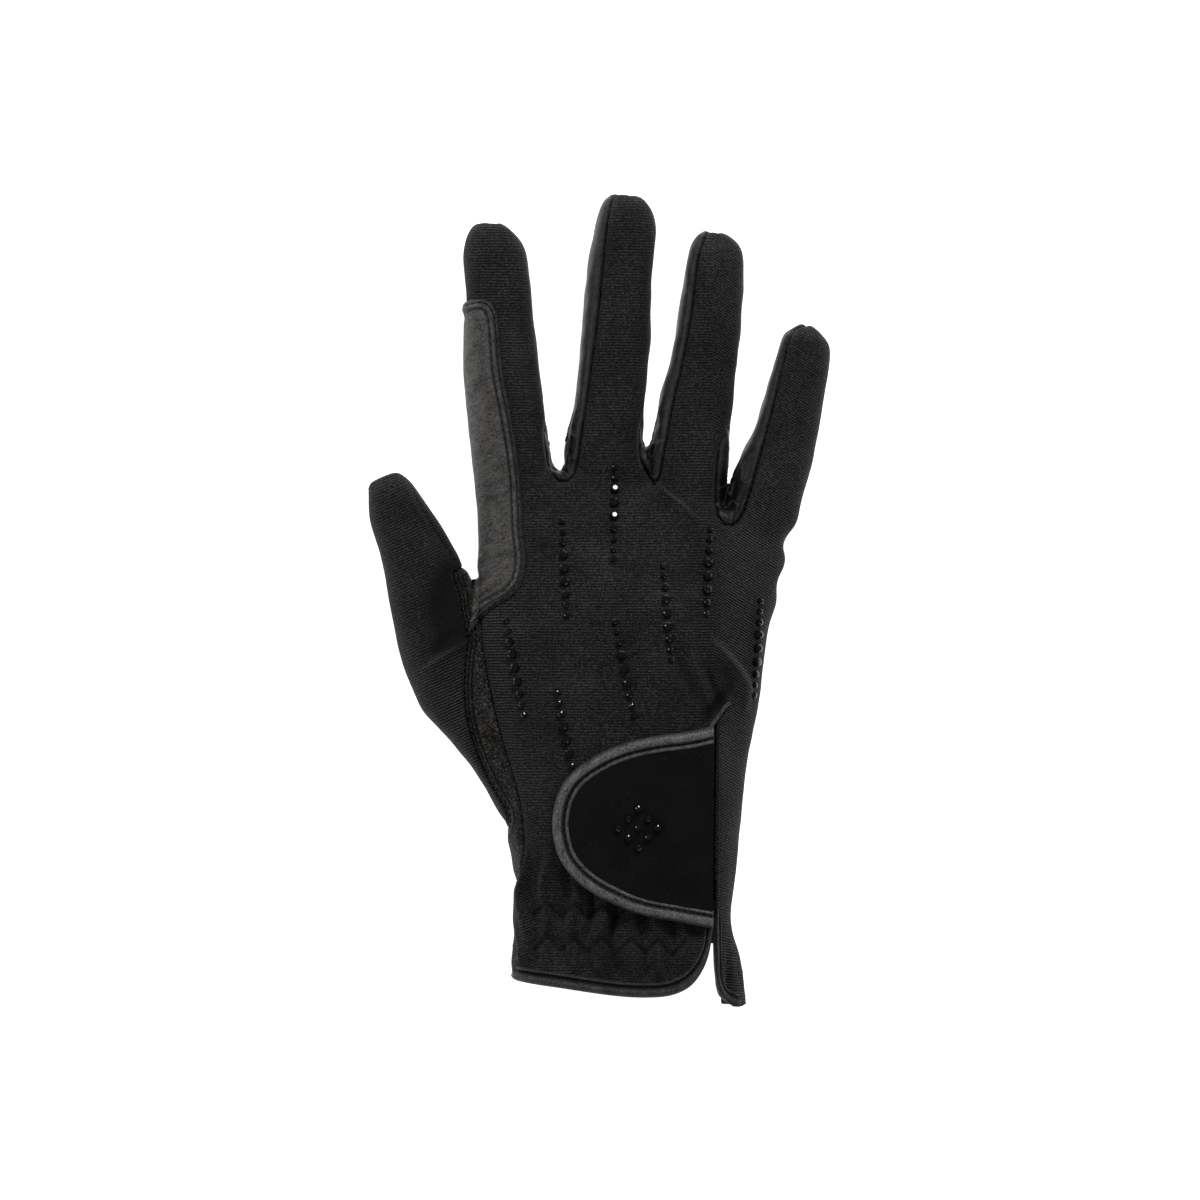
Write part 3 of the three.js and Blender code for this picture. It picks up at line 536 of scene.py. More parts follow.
second = gathers["second"] * np.sin(wave * 2.3 + 1.1 + y * 0.09) * (1 + vary)
pleat = np.cos(wave) * (1 + gathers["uneven"] * vary) + second
hemFar = away(skin.points, cuffLine)
share = np.clip((gathers["start"] - y) / gathers["rise"], 0, 1)
share = share * np.clip((hemFar - gathers["hem"]) / gathers["hemFade"], 0, 1)
lift += gathers["height"] * share * pleat * np.clip(normal[:, 2] + 0.35, 0, 1)
lift -= zigzag["depth"] * onTop * bell(fromZigzag(skin.points), zigzag["width"])
soft = noiseAt(skin.points, lambda p: Vector(p) * wearAndCrestHighlight["softScale"])
fine = noiseAt(skin.points, lambda p: Vector(p) * wearAndCrestHighlight["fineScale"] + Vector((9, 4, 2)))
lift += wearAndCrestHighlight["soft"] * soft + wearAndCrestHighlight["fine"] * fine
skin.points = skin.points + normal * lift[:, None]
skin.values["crest"] = np.clip(crest, -1, 1) * np.maximum(onTop, 0.7)
print("folds")

# Seams: each panel's field is above 0 inside it
gapFields = [away(skin.points, outline, True) for outline in gapOutlines]
x, y, z = skin.points.T
seamHeight, hiddenHeight = lines["palmSeam"], lines["fourchetteSide"]
backField = np.minimum(away(skin.points, backOutline, True), z - seamHeight)
for field in gapFields:
    backField = np.minimum(backField, np.maximum(-field, z - hiddenHeight))
restField = np.minimum(z - seamHeight, -backField)
fourchetteFields = [np.minimum(restField, field) for field in gapFields]
thumbField = np.minimum(np.minimum(away(skin.points, thumbOutline, True), z - seamHeight), restField)
stripLimits = [y + lines["stripEnd"] * hand["length"], lines["stripSide"] * hand["width"] - x]
stripField = np.minimum.reduce([restField, -thumbField, -np.max(gapFields, axis=0), *stripLimits])
beside, beyond = 200, 300  # well past the glove
palmCorners = [[beside, palmLine[-1][1]], [beside, beyond], [-beside, beyond], [-beside, palmLine[0][1]]]
palmLoop = np.concatenate([palmLine, palmCorners])
palmField = np.minimum(away(skin.points, palmLoop, True) - lines["hemInset"], seamHeight - z)
groove = {"depth": 0.75, "width": 1.1, "fade": 3}
onSeam = np.minimum.reduce([np.abs(backField), np.abs(thumbField), np.abs(seamHeight - z)])
freeEdge = np.minimum(hemFar, away(skin.points, flapLine))
sunk = groove["depth"] * bell(onSeam, groove["width"]) * np.clip(freeEdge / groove["fade"] - 1, 0, 1)
skin.points = skin.points - skin.normals() * sunk[:, None]
k = hand["tableSoftness"]
skin.points[:, 2] = k * np.logaddexp(0, skin.points[:, 2] / k)

# tuck is the distance to the zigzag rows; the cloth paints shade along them
skin.values["tuck"] = fromZigzag(skin.points)

# The ribs of the cloth run across the hand, and turn where it wraps the little finger's side and the thumb
x, y, z = skin.points.T
sideLean, thumbLean = 0.62, 0.4
turned = sideLean * np.clip(x - 27, 0, 40) * np.clip((y + 100) / 60, 0, 1)
skin.values["ribs"] = y + turned + thumbLean * np.clip(-24 - x, 0, 9) * (y < -40)
skin.values["crisp"] = np.clip(np.abs(x + 2) / 14 - 1.6, 0.0, 1) * np.clip((60 - y) / 20, 0.3, 1)
surface = skin.tree()
print("seams")


def panel(field, rounds=0):
    skin.values["edge"] = field
    piece = skin.cut(field - lines["seamGap"])
    for _ in range(rounds):
        piece = piece.refined()
    return piece


def biggest(piece):  # drops the small loose bits that a cut leaves
    parent = np.arange(len(piece.points))
    pairs = piece.edges()
    for _ in range(200):
        low = np.minimum(parent[pairs[:, 0]], parent[pairs[:, 1]])
        new = parent.copy()
        np.minimum.at(new, pairs[:, 0], low)
        np.minimum.at(new, pairs[:, 1], low)
        new = new[new]
        if (new == parent).all():
            break
        parent = new
    label, count = np.unique(parent[piece.triangles[:, 0]], return_counts=True)
    return piece.take(piece.triangles[parent[piece.triangles[:, 0]] == label[count.argmax()]])


def topAt(px, py, tree=None):  # the height and normal of the glove's back over a place
    hit, direction, _, _ = (tree or surface).ray_cast(Vector((px, py, 80)), Vector((0, 0, -1)))
    if hit is None:
        return 0.0, Vector((0, 0, 1))
    return hit.z, direction if direction.z > 0 else -direction


def walled(name, piece, thickness):
    made = meshPiece(name, piece.points, piece.triangles, piece.values)
    return applied(made, "SOLIDIFY", thickness=thickness * mm, offset=-1, use_even_offset=False, use_rim=True)


class Socket:  # a node's output as a number or colour that Python's operators work on
    def __init__(self, tree, link):
        self.tree, self.link = tree, link

    def math(self, operation, *others):
        node = self.tree.nodes.new("ShaderNodeMath")
        node.operation = operation
        for slot, value in zip(node.inputs, (self, *others)):
            connect(self.tree, slot, value)
        return Socket(self.tree, node.outputs[0])

    def __add__(self, other):
        return self.math("ADD", other)

    def __sub__(self, other):
        return self.math("SUBTRACT", other)

    def __rsub__(self, other):
        return (self * -1).math("ADD", other)

    def __mul__(self, other):
        return self.math("MULTIPLY", other)

    __radd__, __rmul__ = __add__, __mul__


def connect(tree, slot, value):
    if isinstance(value, Socket):
        tree.links.new(value.link, slot)
    elif value is not None:
        slot.default_value = value


class Finish:  # a material and its nodes
    def __init__(self, name, **constants):
        self.material = bpy.data.materials.new(name)
        self.material.use_nodes = True
        self.tree = self.material.node_tree
        self.shader = self.tree.nodes["Principled BSDF"]
        for key, value in constants.items():
            self.shader.inputs[key].default_value = value

    def node(self, kind, settings=None, output=0, **values):
        made = self.tree.nodes.new(kind)
        for key, value in (settings or {}).items():
            setattr(made, key, value)
        for key, value in values.items():
            connect(self.tree, made.inputs[key], value)
        return Socket(self.tree, made.outputs[output])

    def place(self, scale):
        here = self.node("ShaderNodeTexCoord", output="Object")
        return self.node("ShaderNodeVectorMath", {"operation": "SCALE"}, Vector=here, Scale=scale)

    def attribute(self, name):
        return self.node("ShaderNodeAttribute", {"attribute_name": name}, output="Fac")

    def noise(self, where, scale, detail=3.0, roughness=0.5):
        return self.node("ShaderNodeTexNoise", Vector=where, Scale=scale, Detail=detail, Roughness=roughness)

    def ramp(self, value, stops):
        made = self.tree.nodes.new("ShaderNodeMapRange")
        made.interpolation_type = "SMOOTHSTEP"
        connect(self.tree, made.inputs["Value"], value)
        for key, stop in zip(("From Min", "From Max", "To Min", "To Max"), stops):
            made.inputs[key].default_value = stop
        return Socket(self.tree, made.outputs[0])

    def mix(self, share, first, second):
        made = self.tree.nodes.new("ShaderNodeMix")
        made.data_type = "RGBA"
        connect(self.tree, made.inputs["Factor"], share)
        for slot, value in ((made.inputs[6], first), (made.inputs[7], second)):
            connect(self.tree, slot, (*value, 1) if isinstance(value, tuple) else value)
        return Socket(self.tree, made.outputs[2])

    def bump(self, height, distance, strength=1.0, under=None):
        return self.node(
            "ShaderNodeBump", Height=height, Distance=distance * mm, Strength=strength, Normal=under
        )

    def paint(self, **links):
        for key, value in links.items():
            connect(self.tree, self.shader.inputs[key.replace("_", " ")], value)
        return self.material


def clothFinish():
    look = {"dark": (0.0012, 0.0011, 0.0011), "light": (0.061, 0.057, 0.0556), "wearAndCrestHighlight": (0.105, 0.1, 0.097),
            "lint": (0.10, 0.095, 0.09), "ribPitch": 0.82, "roughness": 0.8, "depth": 0.26}
    sheen = {"Sheen Weight": 0.05, "Sheen Roughness": 0.4}
    cloth = Finish("stretchCloth", **sheen, **{"Specular IOR Level": 0.18})
    where = cloth.place(1000.0)
    crisp = cloth.attribute("crisp")
    crest = cloth.attribute("crest")
    wander = cloth.noise(where, 0.3, 2.0) * 0.6
    turn = (cloth.attribute("ribs") + wander) * (2 * math.pi / look["ribPitch"])
    ribs = (turn.math("SINE") * 0.5 + 0.5) * (crisp * 0.62 + cloth.noise(where, 0.1, 2.0) * 0.5 + 0.06)
    loops = cloth.noise(where, 1.9, 2.0, 0.75)
    patchy = cloth.noise(where, 0.06, 3.0)
    tone = ribs * 0.62 + loops * 1.3 - crisp * 0.16 + patchy * 0.28
    tone = cloth.ramp(tone, (0.7, 1.4, 0.0, 1.0))
    # painted shade along the zigzag rows, where the cloth tucks in
    tuck = cloth.ramp(cloth.attribute("tuck"), (0.15, 0.9, 0.35, 1.0))
    # painted shade along the seams, darkest at a panel's edge
    seam = cloth.ramp(cloth.attribute("edge"), (0.1, 1.0, 0.0, 1.0))
    # painted highlight: the cloth is mixed towards a lighter colour along raised fold crests
    wearAndCrestHighlight = cloth.ramp(crest, (0.0, 1.0, 0.0, 0.7))
    # painted shade: the cloth darkens along sunken folds and on the thumb towards the crotch
    hidden = cloth.ramp(crest, (-1.0, 0.0, 0.1, 1.0))
    colour = cloth.mix(tone * tuck * (seam * 0.45 + 0.55) * hidden, look["dark"], look["light"])
    colour = cloth.mix(wearAndCrestHighlight, colour, look["wearAndCrestHighlight"])
    lint = cloth.ramp(cloth.noise(where, 0.9, 1.0), (0.8, 0.83, 0.0, 0.5))
    colour = cloth.mix(lint, colour, look["lint"])
    under = cloth.bump(seam + tuck, 0.35)
    height = ribs * 1.2 + loops * 1.3
    return cloth.paint(
        Base_Color=colour, Roughness=look["roughness"] + loops * 0.12,
        Normal=cloth.bump(height, look["depth"], 1.0, under),
    )


def leatherFinish(name, look):
    leather = Finish(name, **{"Specular IOR Level": look.get("specular", 0.45), "Coat Roughness": 0.35})
    where = leather.place(1000.0)
    warp = leather.node("ShaderNodeTexNoise", output="Color", Vector=where, Scale=0.6, Detail=3.0)
    bent = leather.node("ShaderNodeVectorMath", {"operation": "MULTIPLY_ADD"}, Vector=warp)
    bent.link.node.inputs[1].default_value = (1.6, 1.6, 1.6)
    leather.tree.links.new(where.link, bent.link.node.inputs[2])
    cells = {"feature": "DISTANCE_TO_EDGE"}
    cells = leather.node("ShaderNodeTexVoronoi", cells, Vector=bent, Scale=look["grain"])
    grain = leather.ramp(cells, (0.0, look["line"], 0.0, 1.0))
    pores = leather.noise(where, look["grain"] * 2.6, 2.0, 0.6)
    creases = leather.noise(where, 0.28, 4.0, 0.62)
    lean = (0, 0, look.get("lean", 0.6))  # the long wrinkles run across the pull of the leather
    drawn = {"vector_type": "TEXTURE"}
    drawn = leather.node("ShaderNodeMapping", drawn, Vector=where, Rotation=lean, Scale=(3.4, 0.9, 2.0))
    wrinkles = leather.noise(drawn, 1.0, 3.0, 0.6)
    height = grain * look["relief"] + pores * 0.3 + creases * look["crease"]
    height = height + wrinkles * look.get("drawn", 1.0)
    edge = leather.attribute("edge") if not look.get("plain") else leather.noise(where, 1.0) + 4.0
    # painted shade along the sewn edge and in the grooves of the sewn rows
    seam = leather.ramp(edge, (0.1, 0.9, 0.0, 1.0))
    for row in look.get("rows", ()):
        far = (edge - row).math("ABSOLUTE")
        seam = seam * leather.ramp(far, (0.12, look["rowWidth"], 0.0, 1.0))
    tone = grain * 0.28 + creases * 0.6 + wrinkles * 0.5 + pores * 0.1
    tone = leather.ramp(tone, (0.4, 1.15, 0.0, 1.0))
    # the shade attribute carries painted light and shade: painted highlights on ridges, rims and roll crests,
    # and painted shade in crotches and on flanks
    if look.get("shade"):
        tone = tone * leather.attribute("shade")
    colour = leather.mix(tone * (seam * 0.85 + 0.15), look["dark"], look["light"])
    under = leather.bump(seam, 0.45)
    return leather.paint(
        Base_Color=colour, Roughness=look["roughness"] + pores * 0.12,
        Coat_Weight=look["coat"] + creases * 0.03, Normal=leather.bump(height, look["depth"], 1.0, under),
    )


def suedeFinish():
    suede = Finish("blackSuede", **{"Sheen Weight": 0.02, "Sheen Roughness": 0.5, "Specular IOR Level": 0.1})
    where = suede.place(1000.0)
    nap = suede.noise(where, 3.4, 3.0, 0.7)
    drift = suede.noise(where, 0.12, 3.0)
    specks = suede.ramp(suede.noise(where, 1.9, 1.0), (0.7, 0.76, 0.0, 0.8))
    tone = suede.ramp(nap * 0.7 + drift * 0.5, (0.35, 0.85, 0.0, 1.0))
    colour = suede.mix(tone, (0.0022, 0.002, 0.0021), (0.0075, 0.0068, 0.007))
    colour = suede.mix(specks, colour, (0.03, 0.027, 0.027))
    return suede.paint(Base_Color=colour, Roughness=0.86 + nap * 0.1, Normal=suede.bump(nap, 0.08, 0.7))


def threadFinish():
    thread = Finish("blackThread", **{"Specular IOR Level": 0.15})
    where = thread.place(1000.0)
    twist = thread.noise(where, 4.0, 2.0)
    colour = thread.mix(twist, (0.0025, 0.0025, 0.003), (0.014, 0.0135, 0.015))
    return thread.paint(Base_Color=colour, Roughness=0.7 + twist * 0.2, Normal=thread.bump(twist, 0.05))


def crystalFinish():
    crystal = Finish("blackCrystal", **{"IOR": 1.5, "Specular IOR Level": 0.36})
    where = crystal.place(1000.0)
    depth = crystal.noise(where, 0.9, 1.0)
    colour = crystal.mix(depth, (0.0006, 0.0006, 0.0007), (0.007, 0.0066, 0.0066))
    return crystal.paint(Base_Color=colour, Roughness=0.02 + depth * 0.05)


leathers = {  # rows are the distances of sewn rows from the edge in mm, drawn is how far wrinkles stand out
    "patch": {"dark": (0.008, 0.0076, 0.0072), "light": (0.158, 0.151, 0.145), "grain": 1.7, "crease": 2.4,
              "line": 0.2, "relief": 0.5, "depth": 0.45, "roughness": 0.52, "coat": 0.02,
              "rows": [1.05, 2.75], "rowWidth": 0.55, "specular": 0.3, "drawn": 2.2, "lean": 0.5},
    "strip": {"dark": (0.002, 0.0019, 0.0018), "light": (0.07, 0.066, 0.0625), "grain": 0.9, "crease": 2.4,
              "line": 0.24, "relief": 0.8, "depth": 0.55, "roughness": 0.5, "coat": 0.0,
              "rows": [1.15, 2.3], "rowWidth": 0.5, "specular": 0.1, "drawn": 2.4, "lean": -0.9},
    "grained": {"dark": (0.006, 0.0058, 0.0056), "light": (0.04, 0.0385, 0.0375), "grain": 1.0, "crease": 0.9,
                "line": 0.16, "relief": 0.7, "depth": 0.3, "roughness": 0.5, "coat": 0.02, "specular": 0.2},
    "smooth": {"dark": (0.0008, 0.0008, 0.0008), "light": (0.04, 0.0385, 0.038), "grain": 1.5, "crease": 0.8,
               "line": 0.1, "relief": 0.25, "depth": 0.1, "roughness": 0.36, "coat": 0.02,
               "specular": 0.16, "shade": True},
    "rolled": {"dark": (0.008, 0.008, 0.009), "light": (0.195, 0.195, 0.208), "grain": 1.3, "crease": 2.0,
               "line": 0.14, "relief": 0.4, "depth": 0.3, "roughness": 0.44, "coat": 0.06,
               "rows": [8.35], "rowWidth": 0.6, "shade": True, "drawn": 1.6, "lean": 1.3},
    "hem": {"dark": (0.004, 0.004, 0.0042), "light": (0.09, 0.087, 0.088), "grain": 1.3, "crease": 2.4,
            "line": 0.14, "relief": 0.4, "depth": 0.32, "roughness": 0.5, "coat": 0.02,
            "rows": [8.35], "rowWidth": 0.6, "shade": True, "specular": 0.25, "drawn": 2.0, "lean": 1.3},
    "under": {"dark": (0.006, 0.006, 0.0062), "light": (0.045, 0.044, 0.045), "grain": 1.3, "crease": 1.8,
              "line": 0.14, "relief": 0.4, "depth": 0.3, "roughness": 0.46, "coat": 0.05, "plain": True},
}
finishes = {
    "cloth": clothFinish(),
    "suede": suedeFinish(),
    "thread": threadFinish(),
    "crystal": crystalFinish(),
    **{name: leatherFinish(f"{name}Leather", look) for name, look in leathers.items()},
}
slots = {
    "cloth": "cloth", "suede": "suede", "crystal": "crystal",
    **dict.fromkeys(("patch", "strip", "grained", "smooth"), "leather"),
    **dict.fromkeys(("rolled", "hem", "under", "thread"), "binding_leather"),
}


def dress(piece, finish, *nodes):
    piece.data.materials.clear()
    piece.data.materials.append(finishes[finish])
    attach(piece, "root")
    if nodes:
        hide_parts(*nodes)
    return piece


panelWall = 1.1
ventAt = onHand(lines["vent"], 0)[0]
flap = {"height": 1.5, "reach": 7, "top": -13, "topFade": 6, "low": -76, "lowFade": 8}  # rises beside the tab
back = biggest(panel(backField))
beside = back.points[:, 0] - (ventAt + 0.3)
along = np.clip((flap["top"] - back.points[:, 1]) / flap["topFade"], 0, 1)
along = along * np.clip((back.points[:, 1] - flap["low"]) / flap["lowFade"], 0, 1)
rounded = np.clip(1 - beside / flap["reach"], 0, 1) ** 1.5
back.points[:, 2] += flap["height"] * along * (beside > 0) * rounded
dress(walled("clothBack", back, panelWall), "cloth", "back_panel")

thumbLook = {"lean": 24, "shade": 0.75, "shadeAt": (-46, 20), "shadeSize": (9, 17)}
thumb = biggest(panel(thumbField))
x, y, z = thumb.points.T
lean = math.radians(thumbLook["lean"])
thumb.values["crisp"] = np.clip((10 - y) / 16, 0.22, 0.9)
shady = bell(x - thumbLook["shadeAt"][0], thumbLook["shadeSize"][0])
shady = shady * bell(y - thumbLook["shadeAt"][1], thumbLook["shadeSize"][1])
thumb.values["crest"] = np.clip(thumb.values["crest"] - thumbLook["shade"] * shady - 0.12, -1, 1)
thumb.values["ribs"] = y * math.cos(lean) - x * math.sin(lean)
dress(walled("clothThumb", thumb, panelWall), "cloth", "thumb_back")

palm = biggest(panel(palmField))
dress(walled("leatherPalm", palm, panelWall), "grained", "palm_panel")
strip = biggest(panel(stripField, 1))
strip.values["edge"] = away(strip.points, thumbLine)
dress(walled("leatherStrip", strip, panelWall), "strip", "side_strip")

# The finger sides crease towards the crotch; their colour carries painted shade that deepens into the crotch,
# with painted highlights on the crease ridges and along the rim
sides = {"reach": 17, "tucks": 0.2, "moreTucks": 0.35, "ridges": 0.7, "dark": 0.94, "ridgeShine": 1.1,
         "rimShine": 0.9, "rimAt": 0.85, "rimWidth": 0.6}
for gap, field in zip(fingerGaps, fourchetteFields):
    side = biggest(panel(field, 1))
    crotch = onDigit(gap["far"], *lines["nearSeams"][gap["far"]][0])
    near = bell(np.linalg.norm(side.points[:, :2] - crotch, axis=1), sides["reach"])
    tucks = noiseAt(side.points, lambda p: (p[0] * 0.3, p[1] * 0.16, p[2] * 0.3))
    folded = noiseAt(side.points, lambda p: (p[0] * 0.22, p[1] * 0.16, p[2] * 0.3 + 7))
    ridges = np.clip(1 - np.abs(folded) * 7, 0, 1)
    calm = np.clip(side.values["edge"] / 2, 0, 1)
    push = (sides["tucks"] + sides["moreTucks"] * near) * tucks + sides["ridges"] * near * ridges**2
    side.points = side.points + side.normals() * (push * calm)[:, None]
    rim = np.clip(1 - np.abs(side.values["edge"] - sides["rimAt"]) / sides["rimWidth"], 0, 1)
    shine = (sides["ridgeShine"] * ridges**3 + sides["rimShine"] * rim) * np.clip(near * 2, 0, 1)
    side.values["shade"] = 1 - sides["dark"] * np.clip(near * 1.5, 0, 1) + shine
    name = f"{gap['near']}_{gap['far']}"
    dress(walled(f"leatherFourchette_{name}", side, panelWall), "smooth", f"fourchette_{name}")
print("panels")

# The raised patch on the index finger
patch = {
    "rise": 1.05,
    "edgeWidth": 0.6,
    "wall": 0.9,
    "clear": 0.1,
    "swell": [0.3, 1.9, 0.7],  # how far the leather stands out between the rows, where, and how wide
    "sag": [0.25, 4.4, 1.0],
    "outline": [  # along and beside the finger: hidden corners, then the sewn edge
        [-0.223, -0.766], [-0.077, -0.639], [0.056, -0.666], [0.25, -0.758], [0.765, -1.1],
        [0.768, -0.42], [0.774, -0.26], [0.769, -0.13], [0.753, -0.05], [0.719, 0.0], [0.553, 0.0],
        [0.434, 0.05], [0.315, 0.09], [0.196, 0.1], [0.079, 0.08], [-0.01, 0.08], [-0.071, 0.0],
        [-0.109, -0.16], [-0.134, -0.39], [-0.171, -0.61], [-0.207, -0.74],
    ],
    "hiddenCorners": 5,
}
corners = [onDigit("index", *row) for row in patch["outline"]]
patchEdge = smoothLine(corners[patch["hiddenCorners"]:])
patchOutline = np.concatenate([corners[: patch["hiddenCorners"]], patchEdge])
patchFar = away(skin.points, patchOutline, True)
skin.values["edge"] = patchFar
sheet = biggest(skin.cut(np.minimum(patchFar, skin.points[:, 2] - seamHeight - 0.5))).refined()
inner = np.clip(sheet.values["edge"] / patch["edgeWidth"], 0.25, 1) ** 0.5
far = sheet.values["edge"] = away(sheet.points, patchEdge)
swell, sag = patch["swell"], patch["sag"]
border = swell[0] * bell(far - swell[1], swell[2]) - sag[0] * bell(far - sag[1], sag[2])
sheet.points = sheet.points + sheet.normals() * (patch["rise"] * inner + patch["clear"] + border)[:, None]
dress(walled("leatherIndexPatch", sheet, patch["wall"]), "patch", "index_patch")
patchTree = sheet.tree()
print("patch")


def onSurface(line, tree=None, lift=0.0):
    seats = [topAt(px, py, tree) for px, py in line]
    up = np.array([seat[1] for seat in seats])
    return np.column_stack([line, [seat[0] for seat in seats]]) + up * lift, up


def wrapped(line, way):  # a hem line that goes on down the glove's side, with the normals along it
    path, up = onSurface(line)
    path, up = path[path[:, 2] > 1], up[path[:, 2] > 1]
    end = path[-1] if way > 0 else path[0]
    extra = []
    for z in np.arange(end[2] - 0.8, 2.0, -0.8):
        hit, out, _, _ = surface.ray_cast(Vector((way * 90, end[1], z)), Vector((-way, 0, 0)))
        if hit is not None:
            extra.append([hit.x - way * 1.1, end[1], z, *out])
    rows = np.column_stack([path, up])
    extra = np.array(extra).reshape(-1, 6)
    return np.concatenate([rows, extra] if way > 0 else [extra[::-1], rows])


def sweep(name, line, profile, tree=None, smoothing=0, stitchAt=None, widths=1.0, shine=((0, 1), (1, 1))):
    if line.shape[1] == 2:
        line, up = onSurface(line, tree)
    else:
        line, up = line[:, :3], line[:, 3:]
    height = line[:, 2].copy()
    up = np.array(up, float)
    for _ in range(smoothing):
        height[1:-1] = (height[:-2] + height[1:-1] * 2 + height[2:]) / 4
        up[1:-1] = up[:-2] + up[1:-1] * 2 + up[2:]
        up /= np.linalg.norm(up, axis=1)[:, None]
    path = np.column_stack([line[:, :2], height])
    tangent = np.gradient(path, axis=0)
    tangent /= np.linalg.norm(tangent, axis=1)[:, None]
    side = np.cross(up, tangent)
    side /= np.linalg.norm(side, axis=1)[:, None]
    up = np.cross(tangent, side)
    widths = np.broadcast_to(widths, len(path))
    rings = [
        p + np.outer(profile[:, 0] * w, s) + np.outer(profile[:, 1], u)
        for p, s, u, w in zip(path, side, up, widths)
    ]
    points, faces = tube(np.array(rings))
    # edge is read against the leather's sewn row, so that its bumped groove and its painted groove shade fall
    # where the stitches are
    groove = leathers["rolled"]["rows"][0]
    plain = stitchAt is None
    across = profile[:, 0] * 0 + 5 if plain else profile[:, 0] + groove - stitchAt
    across = np.where(profile[:, 1].min() + 0.3 < profile[:, 1], across, 10.0 if plain else 5.0)
    # painted light across the roll: lighter on its crest, painted shade on its flanks and underneath
    flank = np.interp(profile[:, 0], *np.transpose(shine)) * np.where(profile[:, 1] < -0.4, 0.2, 1)
    values = {"edge": np.tile(across, len(path)), "shade": np.tile(flank, len(path))}
    piece = meshPiece(name, points, faces, values)
    edited(piece, lambda: bpy.ops.mesh.normals_make_consistent(inside=False))
    return piece, path, side, up


def profileOf(rows, step=0.2):
    return smoothLine(np.array([*rows, rows[0]], float), step)[:-1]


# the shine rows are painted light across each binding: a painted highlight on its crest and painted shade on
# its flanks
hem = {  # profiles across the hem and up out of the cloth, and how its tone goes across
    "cuff": [[0.05, -1.0], [-0.1, -0.1], [0.3, 0.8], [1.2, 1.45], [2.1, 1.1], [2.7, 0.4], [3.0, 0.25],
             [3.4, 0.75], [3.85, 0.8], [4.3, 0.35], [4.35, -0.4], [4.0, -1.7], [1.6, -2.2], [0.4, -1.9]],
    "flap": [[-0.1, -0.8], [-0.15, 0.2], [0.3, 0.75], [1.0, 0.8], [1.6, 0.4], [1.8, 0.3], [2.2, 0.55],
             [2.6, 0.3], [2.6, -0.6], [2.2, -1.5], [0.9, -1.8], [0.1, -1.6]],
    "cuffShine": [[-0.2, 0.05], [0.5, 0.2], [1.0, 0.7], [1.5, 1.0], [2.0, 0.5], [2.7, 0.2], [3.3, 0.5],
                  [3.6, 0.9], [4.1, 0.3]],
    "flapShine": [[-0.2, 0.05], [0.3, 0.25], [0.8, 0.9], [1.2, 0.6], [1.7, 0.2], [2.2, 0.8], [2.6, 0.3]],
    "cuffStitch": 3.0,
    "flapStitch": 1.75,
    "cuffLeft": -30.4,
    "cuffTop": -68.5,
    "cuffNarrow": 0.42,
    "flapRight": 35.4,
    "flapTop": -66,
    "smoothing": 3,
}
cuffPath = wrapped(cuffLine[(cuffLine[:, 0] > hem["cuffLeft"]) & (cuffLine[:, 1] < hem["cuffTop"])], -1)
narrow = np.clip((cuffPath[:, 1] + 92) / 12, 0, 1) * (cuffPath[:, 0] > 10)
cuffPiece, cuffTrack, cuffSide, cuffUp = sweep(
    "leatherHem", cuffPath, profileOf(hem["cuff"]), smoothing=hem["smoothing"], stitchAt=hem["cuffStitch"],
    widths=1 - hem["cuffNarrow"] * narrow, shine=hem["cuffShine"],
)
dress(cuffPiece, "hem", "cuff_binding")
flapPath = wrapped(flapLine[(flapLine[:, 1] < hem["flapTop"]) & (flapLine[:, 0] < hem["flapRight"])], 1)
broad = 0.75 + 0.6 * np.clip((flapPath[:, 0] - 28) / 3, 0, 1)
flapPiece, flapTrack, flapSide, flapUp = sweep(
    "leatherFlapEdge", flapPath, profileOf(hem["flap"]), smoothing=hem["smoothing"],
    stitchAt=hem["flapStitch"], widths=broad, shine=hem["flapShine"],
)
dress(flapPiece, "hem", "flap_binding")
print("hems")

# The closing tab over the wrist
tab = {
    "length": 46.3,
    "width": 58.5,
    "middle": -0.314,
    "thickness": 1.9,
    "wall": 1.1,
    "inset": 4.3,  # how far the suede lies inside the rolled edge's outline
    "edge": [
        [0.0, 0.48], [0.158, 0.452], [0.371, 0.429], [0.56, 0.394], [0.729, 0.335], [0.879, 0.251],
        [0.961, 0.156], [1.0, 0.03], [0.993, -0.068], [0.946, -0.184], [0.823, -0.3], [0.654, -0.384],
        [0.452, -0.449], [0.221, -0.488], [0.0, -0.522],
    ],
    "roll": [[0.0, -0.3], [-0.1, 0.9], [0.5, 1.9], [1.5, 2.35], [2.5, 2.2], [3.1, 1.55], [3.3, 1.15],
             [3.6, 1.2], [4.1, 1.6], [4.6, 1.45], [4.9, 0.9], [4.9, -0.3], [2.4, -0.6]],
    "shine": [[-0.2, 0.1], [0.4, 0.35], [1.2, 1.0], [2.4, 0.9], [3.0, 0.4], [3.5, 0.3], [4.2, 0.8],
              [4.7, 0.6], [5, 0.2]],
    "stitchAt": 3.35,
    "smoothing": 6,
}
tabStart = ventAt - 0.35
tabMiddle = tab["middle"] * hand["length"]
tabPoints = [[tabStart - a * tab["length"], tabMiddle + s * tab["width"]] for a, s in tab["edge"]]
(startX, startY), (endX, endY) = tabPoints[0], tabPoints[-1]
tabLine = smoothLine([[startX + 1.5, startY + 0.3], *tabPoints, [endX + 1.5, endY - 0.2]], 0.8)
tabFar = np.concatenate([tabLine, [[tabStart + 12, tabLine[-1][1]], [tabStart + 12, tabLine[0][1]]]])


def around(grid):  # the mean of each cell's four neighbours
    ringed = np.pad(grid, 1, mode="edge")
    return (ringed[:-2, 1:-1] + ringed[2:, 1:-1] + ringed[1:-1, :-2] + ringed[1:-1, 2:]) / 4


